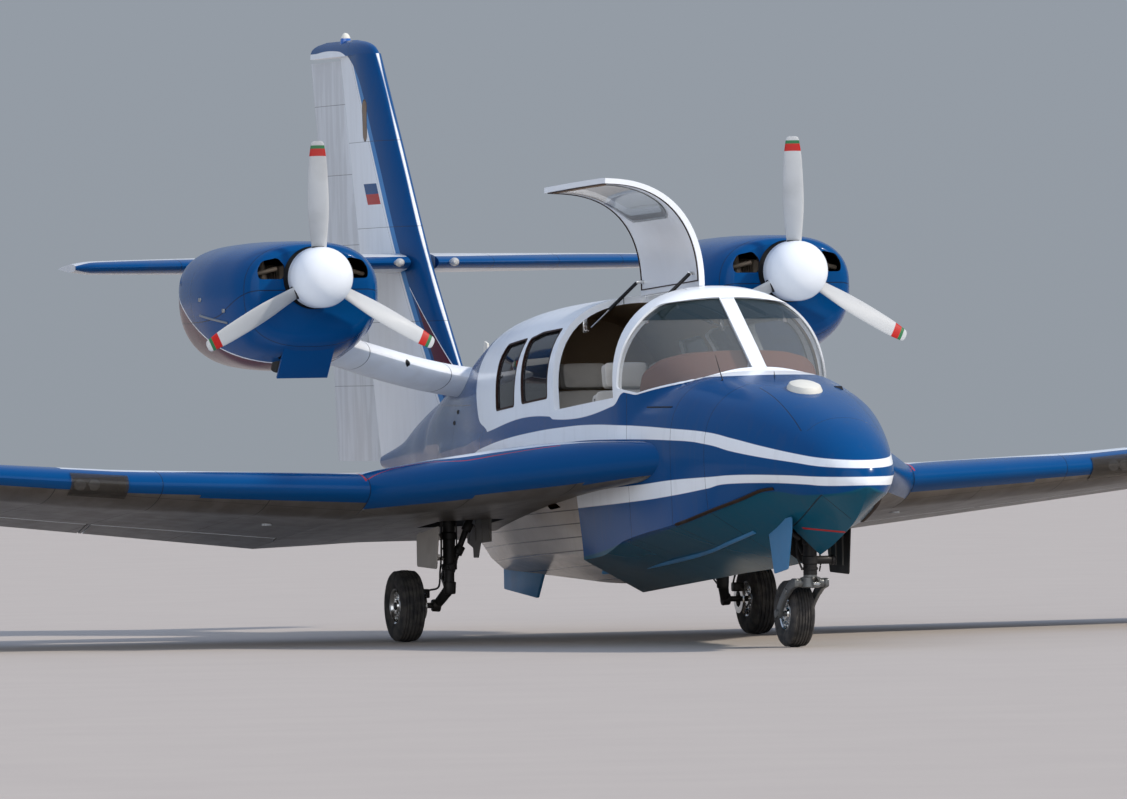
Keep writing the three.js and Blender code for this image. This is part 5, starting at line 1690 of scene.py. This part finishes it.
def mainLegParts():
    x, y = gear["leg"]
    top, foot = gear["legTop"], gear["legFoot"]
    wheel = gear["main"]
    hubY, hubZ = wheel["y"], wheel["radius"]
    braceX, braceTop = x - 0.15, top - 0.02
    barrel = [(0, top), (0.038, top), (0.038, 0.66), (0.046, 0.655), (0.046, 0.62), (0.038, 0.615), (0.038, 0.47),
              (0.047, 0.465), (0.047, 0.435), (0.036, 0.43), (0, 0.43)]
    dark = [turned(barrel, (x, y, 0), "Z", 40),
            rod((braceX, y, braceTop), (x - 0.02, y, 0.455), 0.02, 0.017, 24, 0.004),
            *[rod((braceX + 0.13 * t - 0.006, y, braceTop - 0.3156 * t),
                  (braceX + 0.13 * (t + 0.16), y, braceTop - 0.3156 * (t + 0.16)), 0.03, rounded=0.005)
              for t in (0.18, 0.62)],
            rod((braceX, y - 0.05, top - 0.03), (braceX, y + 0.05, top - 0.03), 0.03, sides=24, rounded=0.004),
            rod((x, y - 0.062, 0.45), (x, y + 0.062, 0.45), 0.02, rounded=0.003),
            prism([(y + 0.045, 0.475), (y + 0.115, 0.4), (y + 0.125, 0.375), (y + 0.1, 0.372), (y + 0.05, 0.44)],
                  x - 0.02, x + 0.02, 0.004, 2),
            prism([(y + 0.035, 0.3), (y + 0.11, 0.362), (y + 0.125, 0.385), (y + 0.1, 0.385), (y + 0.035, 0.335)],
                  x - 0.016, x + 0.016, 0.004, 2)]
    arm = [rod((x, y, foot + 0.02), (x + 0.05, hubY, hubZ), 0.034, 0.028, 28, 0.008),
           rod((x, y, 0.36), (x, y, 0.285), 0.04, 0.036, 28, 0.008),
           axle(x + 0.03, x + 0.08, hubY, hubZ, 0.04, 0.036, 28, 0.006),
           axle(x + 0.055, wheel["x"] + 0.05, hubY, hubZ, 0.017),
           axle(wheel["x"] + 0.05, wheel["x"] + 0.066, hubY, hubZ, 0.024, sides=6),
           cuboid((x + 0.1, hubY - 0.035, hubZ + 0.045), (x + 0.165, hubY + 0.035, hubZ + 0.1), 0.008)]
    piston = rod((x, y, 0.44), (x, y, foot), 0.03, sides=32)
    disc = turned([(0.05, -0.005), (0.088, -0.005), (0.088, 0.005), (0.05, 0.005), (0.05, -0.005)],
                  hub(wheel, x + 0.14), "X", 48)
    hoses = [hose([(x + 0.05, y - 0.01, 0.76), (x + 0.058, y - 0.03, 0.6), (x + 0.062, y - 0.035, 0.5),
                   (x + 0.075, y - 0.05, 0.42), (x + 0.07, y, 0.33), (x + 0.1, hubY - 0.02, 0.31)], 0.006),
             hose([(x - 0.05, y + 0.01, 0.76), (x - 0.058, y + 0.03, 0.58), (x - 0.06, y + 0.045, 0.47),
                   (x - 0.045, y + 0.1, 0.38), (x + 0.01, hubY - 0.02, 0.29)], 0.005)]
    clip = [(0.037, -0.006), (0.043, -0.006), (0.043, 0.006), (0.037, 0.006), (0.037, -0.006)]
    clips = [turned(clip, (x, y, z), "Z", 32) for z in (0.51, 0.56, 0.7)]
    return together(*dark, piston, *clips), together(*arm), disc, together(*hoses)


for mesh, name, material, slot, node in zip(
        mainLegParts(), ("mainLeg", "mainArm", "brakeDiscs", "brakeHoses"),
        (gearMetal, gearMetal, brightMetal, rubber),
        ("gear_metal", "grey_paint", "alloy", "tyre_rubber"), ("main_leg", None, None, None)):
    bothWings(mesh, name, material, slot, node)
x, y = gear["leg"]
ribs = x + 0.122, x + 0.13
legDoor = together(
    prism([(4.925, 0.7), (5.375, 0.645), (5.375, 0.452), (4.985, 0.44)], x + 0.128, x + 0.134, 0.02, 5),
    *[prism([(4.95, z), (5.36, z - 0.01), (5.36, z - 0.03), (4.95, z - 0.02)], *ribs, 0.003, 2)
      for z in (0.64, 0.53)],
    *[plate((a, a + 0.02), (0.47, 0.66), ribs) for a in (5.02, 5.17, 5.32)],
    *[axle(x + 0.03, x + 0.13, y, z, 0.011, sides=16) for z in (0.5, 0.64)])
bothWings(legDoor, "legDoor", doorGrey, "grey_paint")
ribs = 0.6625, 0.6735
bayDoor = together(
    prism([(4.938, 0.7906), (5.412, 0.7906), (5.412, 0.59), (5.3, 0.56), (5.29, 0.5), (5.2, 0.5), (5.15, 0.59),
           (4.938, 0.6)], 0.6655, 0.6705, 0.006, 2),
    *[plate((a, a + 0.022), (0.6, 0.785), ribs) for a in (4.96, 5.11, 5.24, 5.37)],
    plate((4.95, 5.4), (0.68, 0.7), ribs))
bothWings(bayDoor, "bayDoor", bayGrey, "grey_paint", "bay_door")


def noseGearParts():
    y, wheel = gear["noseLeg"], gear["nose"]
    strut = [turned([(0, 0.759), (0.04, 0.759), (0.04, 0.66), (0.046, 0.655), (0.046, 0.6), (0.04, 0.595),
                     (0.04, 0.53), (0.047, 0.525), (0.047, 0.485), (0.04, 0.48), (0.04, 0.465), (0.045, 0.462),
                     (0.045, 0.45), (0.04, 0.447), (0.04, 0.42), (0, 0.42)], (0, y, 0), "Z", 40),
             axle(-0.03, 0.15, y - 0.01, 0.505, 0.024, sides=28, rounded=0.003),
             axle(0.125, 0.145, y - 0.01, 0.505, 0.03, sides=28, rounded=0.003)]
    fork = [turned([(0, 0.4194), (0.04, 0.4194), (0.04, 0.41), (0.058, 0.405), (0.06, 0.352), (0.048, 0.345),
                    (0, 0.345)], (0, y, 0), "Z", 40),
            axle(-0.104, 0.104, wheel["y"], wheel["radius"], 0.016)]
    outline = [(0.99, 0.398), (1.045, 0.402), (1.12, 0.376), (1.19, 0.34), (1.262, 0.292), (1.315, 0.24),
               (1.338, 0.195), (1.325, 0.168), (1.29, 0.168), (1.266, 0.205), (1.228, 0.247), (1.15, 0.297),
               (1.07, 0.335), (0.99, 0.352)]
    for side in (-1, 1):
        strut += [rod((side * 0.03, y + 0.03, 0.54), (side * 0.07, y + 0.12, 0.7), 0.013, sides=16),
                  rod((side * 0.06, y, 0.63), (side * 0.19, y, 0.72), 0.014, sides=16)]
        arm = prism(outline, *sorted((side * 0.081, side * 0.105)), 0.01, 3)
        rims = [e for e in arm.edges if abs(e.verts[0].co.x - e.verts[1].co.x) < 1e-6 and len(e.link_faces) == 2
                and any(abs(f.normal.x) > 0.9 for f in e.link_faces)]
        softened(arm, rims, 0.004)
        fork += [arm, axle(side * 0.099, side * 0.112, 1.155, 0.325, 0.022, 0.019, 24),
                 axle(side * 0.03, side * 0.1, y, 0.375, 0.027, 0.024, 24, 0.005),
                 axle(side * 0.1, side * 0.116, wheel["y"], wheel["radius"], 0.026, sides=6)]
    thick = [(-0.05, y + 0.03, 0.74), (-0.06, y + 0.05, 0.62), (-0.07, y + 0.02, 0.53), (-0.055, y - 0.02, 0.45)]
    thin = [(0.05, y + 0.02, 0.74), (0.065, y + 0.04, 0.6), (0.075, y + 0.03, 0.5), (0.06, y + 0.01, 0.44)]
    hoses = [hose(thick, 0.006), hose(thin, 0.005)]
    links = prism([(y - 0.05, 0.41), (y - 0.1, 0.385), (y - 0.115, 0.365), (y - 0.09, 0.36), (y - 0.045, 0.38)],
                  -0.018, 0.018, 0.003, 2)
    return together(*strut), together(*hoses), together(*fork), links


strutMesh, hoseMesh, forkMesh, linkMesh = noseGearParts()
addPiece(strutMesh, "noseStrut", gearMetal, slot="gear_metal", replaced=["nose_leg"])
addPiece(hoseMesh, "noseHoses", rubber, slot="tyre_rubber")
addPiece(forkMesh, "noseForkArms", armPaint, "nose_fork", "grey_paint", ["nose_fork"])
addPiece(linkMesh, "noseLink", brightMetal, "nose_fork", "alloy")
noseDoors = {
    "port": [(0.9, 0.76), (1.33, 0.72), (1.31, 0.56), (1.28, 0.43), (0.95, 0.42)],
    "starboard": [(0.714, 0.76), (1.13, 0.72), (1.11, 0.64), (1.03, 0.43), (0.79, 0.46), (0.714, 0.69)],
}
for side, outline in noseDoors.items():
    sign = 1 if side == "port" else -1
    middle = sum(p[0] for p in outline) / len(outline)
    ribs = [plate((middle + at, middle + at + 0.018), (0.47, 0.66), sorted((sign * 0.2065, sign * 0.211)), 0.002)
            for at in (-0.12, 0.0, 0.1)]
    skin = marked(prism(outline, *sorted((sign * 0.2095, sign * 0.2155)), 0.014), 0)
    addPiece(together(skin, *[marked(rib, 1) for rib in ribs]), f"noseDoor_{side}",
             [litBottomPaint if side == "starboard" else gearMetal, bayGrey], slot="blue_paint",
             replaced=[f"nose_door_{side}"])
ventral = prism([(5.93, 0.44), (6.76, 0.44), (6.76, 0.283), (6.11, 0.234)], -0.009, 0.009, 0.012, 4)
rims = [e for e in ventral.edges if abs(e.verts[0].co.x - e.verts[1].co.x) < 1e-6]
softened(ventral, rims, 0.003)
addPiece(ventral, "ventralPlate", litBottomPaint, slot="blue_paint", replaced=["ventral_plate"])
print("landing gear fitted")


# Engines, seen through the intakes
engine = {"front": 5.9, "back": 6.65, "low": 1.88, "high": 2.33, "fins": 10, "finPitch": 0.016}


def engineMesh():
    x, front = nacelle["x"], engine["front"]
    parts = [cuboid((x - 0.16, front + 0.02, engine["low"]), (x + 0.16, engine["back"], engine["high"] - 0.04), 0.02),
             *[rod((x + end * 0.2, 5.83, 2.27), (x + end * 0.36, 5.87, 2.23), 0.014, sides=14) for end in (-1, 1)],
             *[rod((x + end * 0.27, 5.85, 2.16), (x + end * 0.27, 5.93, 2.31), 0.02, sides=14) for end in (-1, 1)],
             rod((x, 5.72, nacelle["z"]), (x, 5.95, nacelle["z"]), 0.075, 0.11, 32)]
    for side in (-1, 1):
        for row in range(3):
            y = front + 0.11 + row * 0.24
            for i in range(engine["fins"]):
                at = x + side * (0.17 + i * engine["finPitch"])
                parts.append(rod((at, y, 2.2), (at + side * 0.003, y, 2.2), 0.095, sides=28))
        parts.append(rod((x + side * 0.17, front + 0.1, 2.05), (x + side * 0.17, 6.6, 2.05), 0.028, sides=20))
    return together(*parts)


engineFinish = paintedMaterial("engineFinish", colour(0.34, 0.27, 0.2), 0.3, 0.5, 0.7, 0.0, 0.5)
bothWings(engineMesh(), "engineCore", engineFinish, "engine_metal", "engine")
print("engines placed")


# CAD nodes that keep their shape take their finish here
nodeFinish = {
    "blue_paint": bluePaint, "white_paint": whitePaint, "grey_paint": bareMetal, "clear_glass": clearGlass,
    "tinted_glass": tintedGlass, "engine_metal": gearMetal, "tyre_rubber": rubber, "alloy": bareMetal,
    "gear_metal": gearMetal, "seat_leather": leather, "panel_plastic": gearMetal, "strut_black": strutBlack,
}
slotOf = {row["node"]: row["material_slot"] for row in frame["record"]["subparts"]}
for name, node in frame["nodes"].items():
    node.data.materials.clear()
    node.data.materials.append(brightMetal if name.startswith("strut_rod") else nodeFinish[slotOf[name]])


# Floor and light
stageSettings = {
    "floor": colour(0.47, 0.42, 0.37),
    "floorPatch": colour(0.42, 0.37, 0.33),
    "sun": 3.0,
    "fill": 1.3,
    "fillPlace": (-9, -14, 4),
    "sunPlace": (12, -9, 14),
    "horizon": colour(0.29, 0.32, 0.355),
    "zenith": colour(0.42, 0.53, 0.76),
}


def addStage():
    mesh = bmesh.new()
    bmesh.ops.create_grid(mesh, x_segments=1, y_segments=1, size=150)
    floor = newObject("floor", meshData(mesh, "floor"))
    material, shader = makeNodes("floorFinish")
    shade = blendColour(noise(1.3, 6.0), stageSettings["floor"], stageSettings["floorPatch"])
    fill(shader, {"Base Color": shade, "Roughness": 0.8})
    floor.data.materials.append(material)


def addSun(name, angle, shade):
    light = bpy.data.lights.new(name, "SUN")
    light.energy, light.angle, light.color = stageSettings[name], math.radians(angle), shade
    lamp = newObject(name, light)
    lamp.location = stageSettings[name + "Place"]
    lamp.rotation_euler = (Vector((0, 0, 1)) - lamp.location).to_track_quat("-Z", "Y").to_euler()


addStage()
addSun("sun", 4, (1.0, 0.93, 0.84))
addSun("fill", 70, (0.97, 0.98, 1.0))


def addSky():
    global tree
    world = bpy.data.worlds.new("sky")
    world.use_nodes = True
    tree = world.node_tree
    spot = addNode("TexCoord", {}).outputs["Generated"]
    split = addNode("SeparateXYZ", {0: spot})
    height = rise(split.outputs[2], 0.35, 0.45)
    shade = blendColour(height, stageSettings["horizon"], stageSettings["zenith"])
    link(shade, tree.nodes["Background"].inputs["Color"])
    bpy.context.scene.world = world


addSky()
bpy.context.scene.view_settings.view_transform = "Standard"
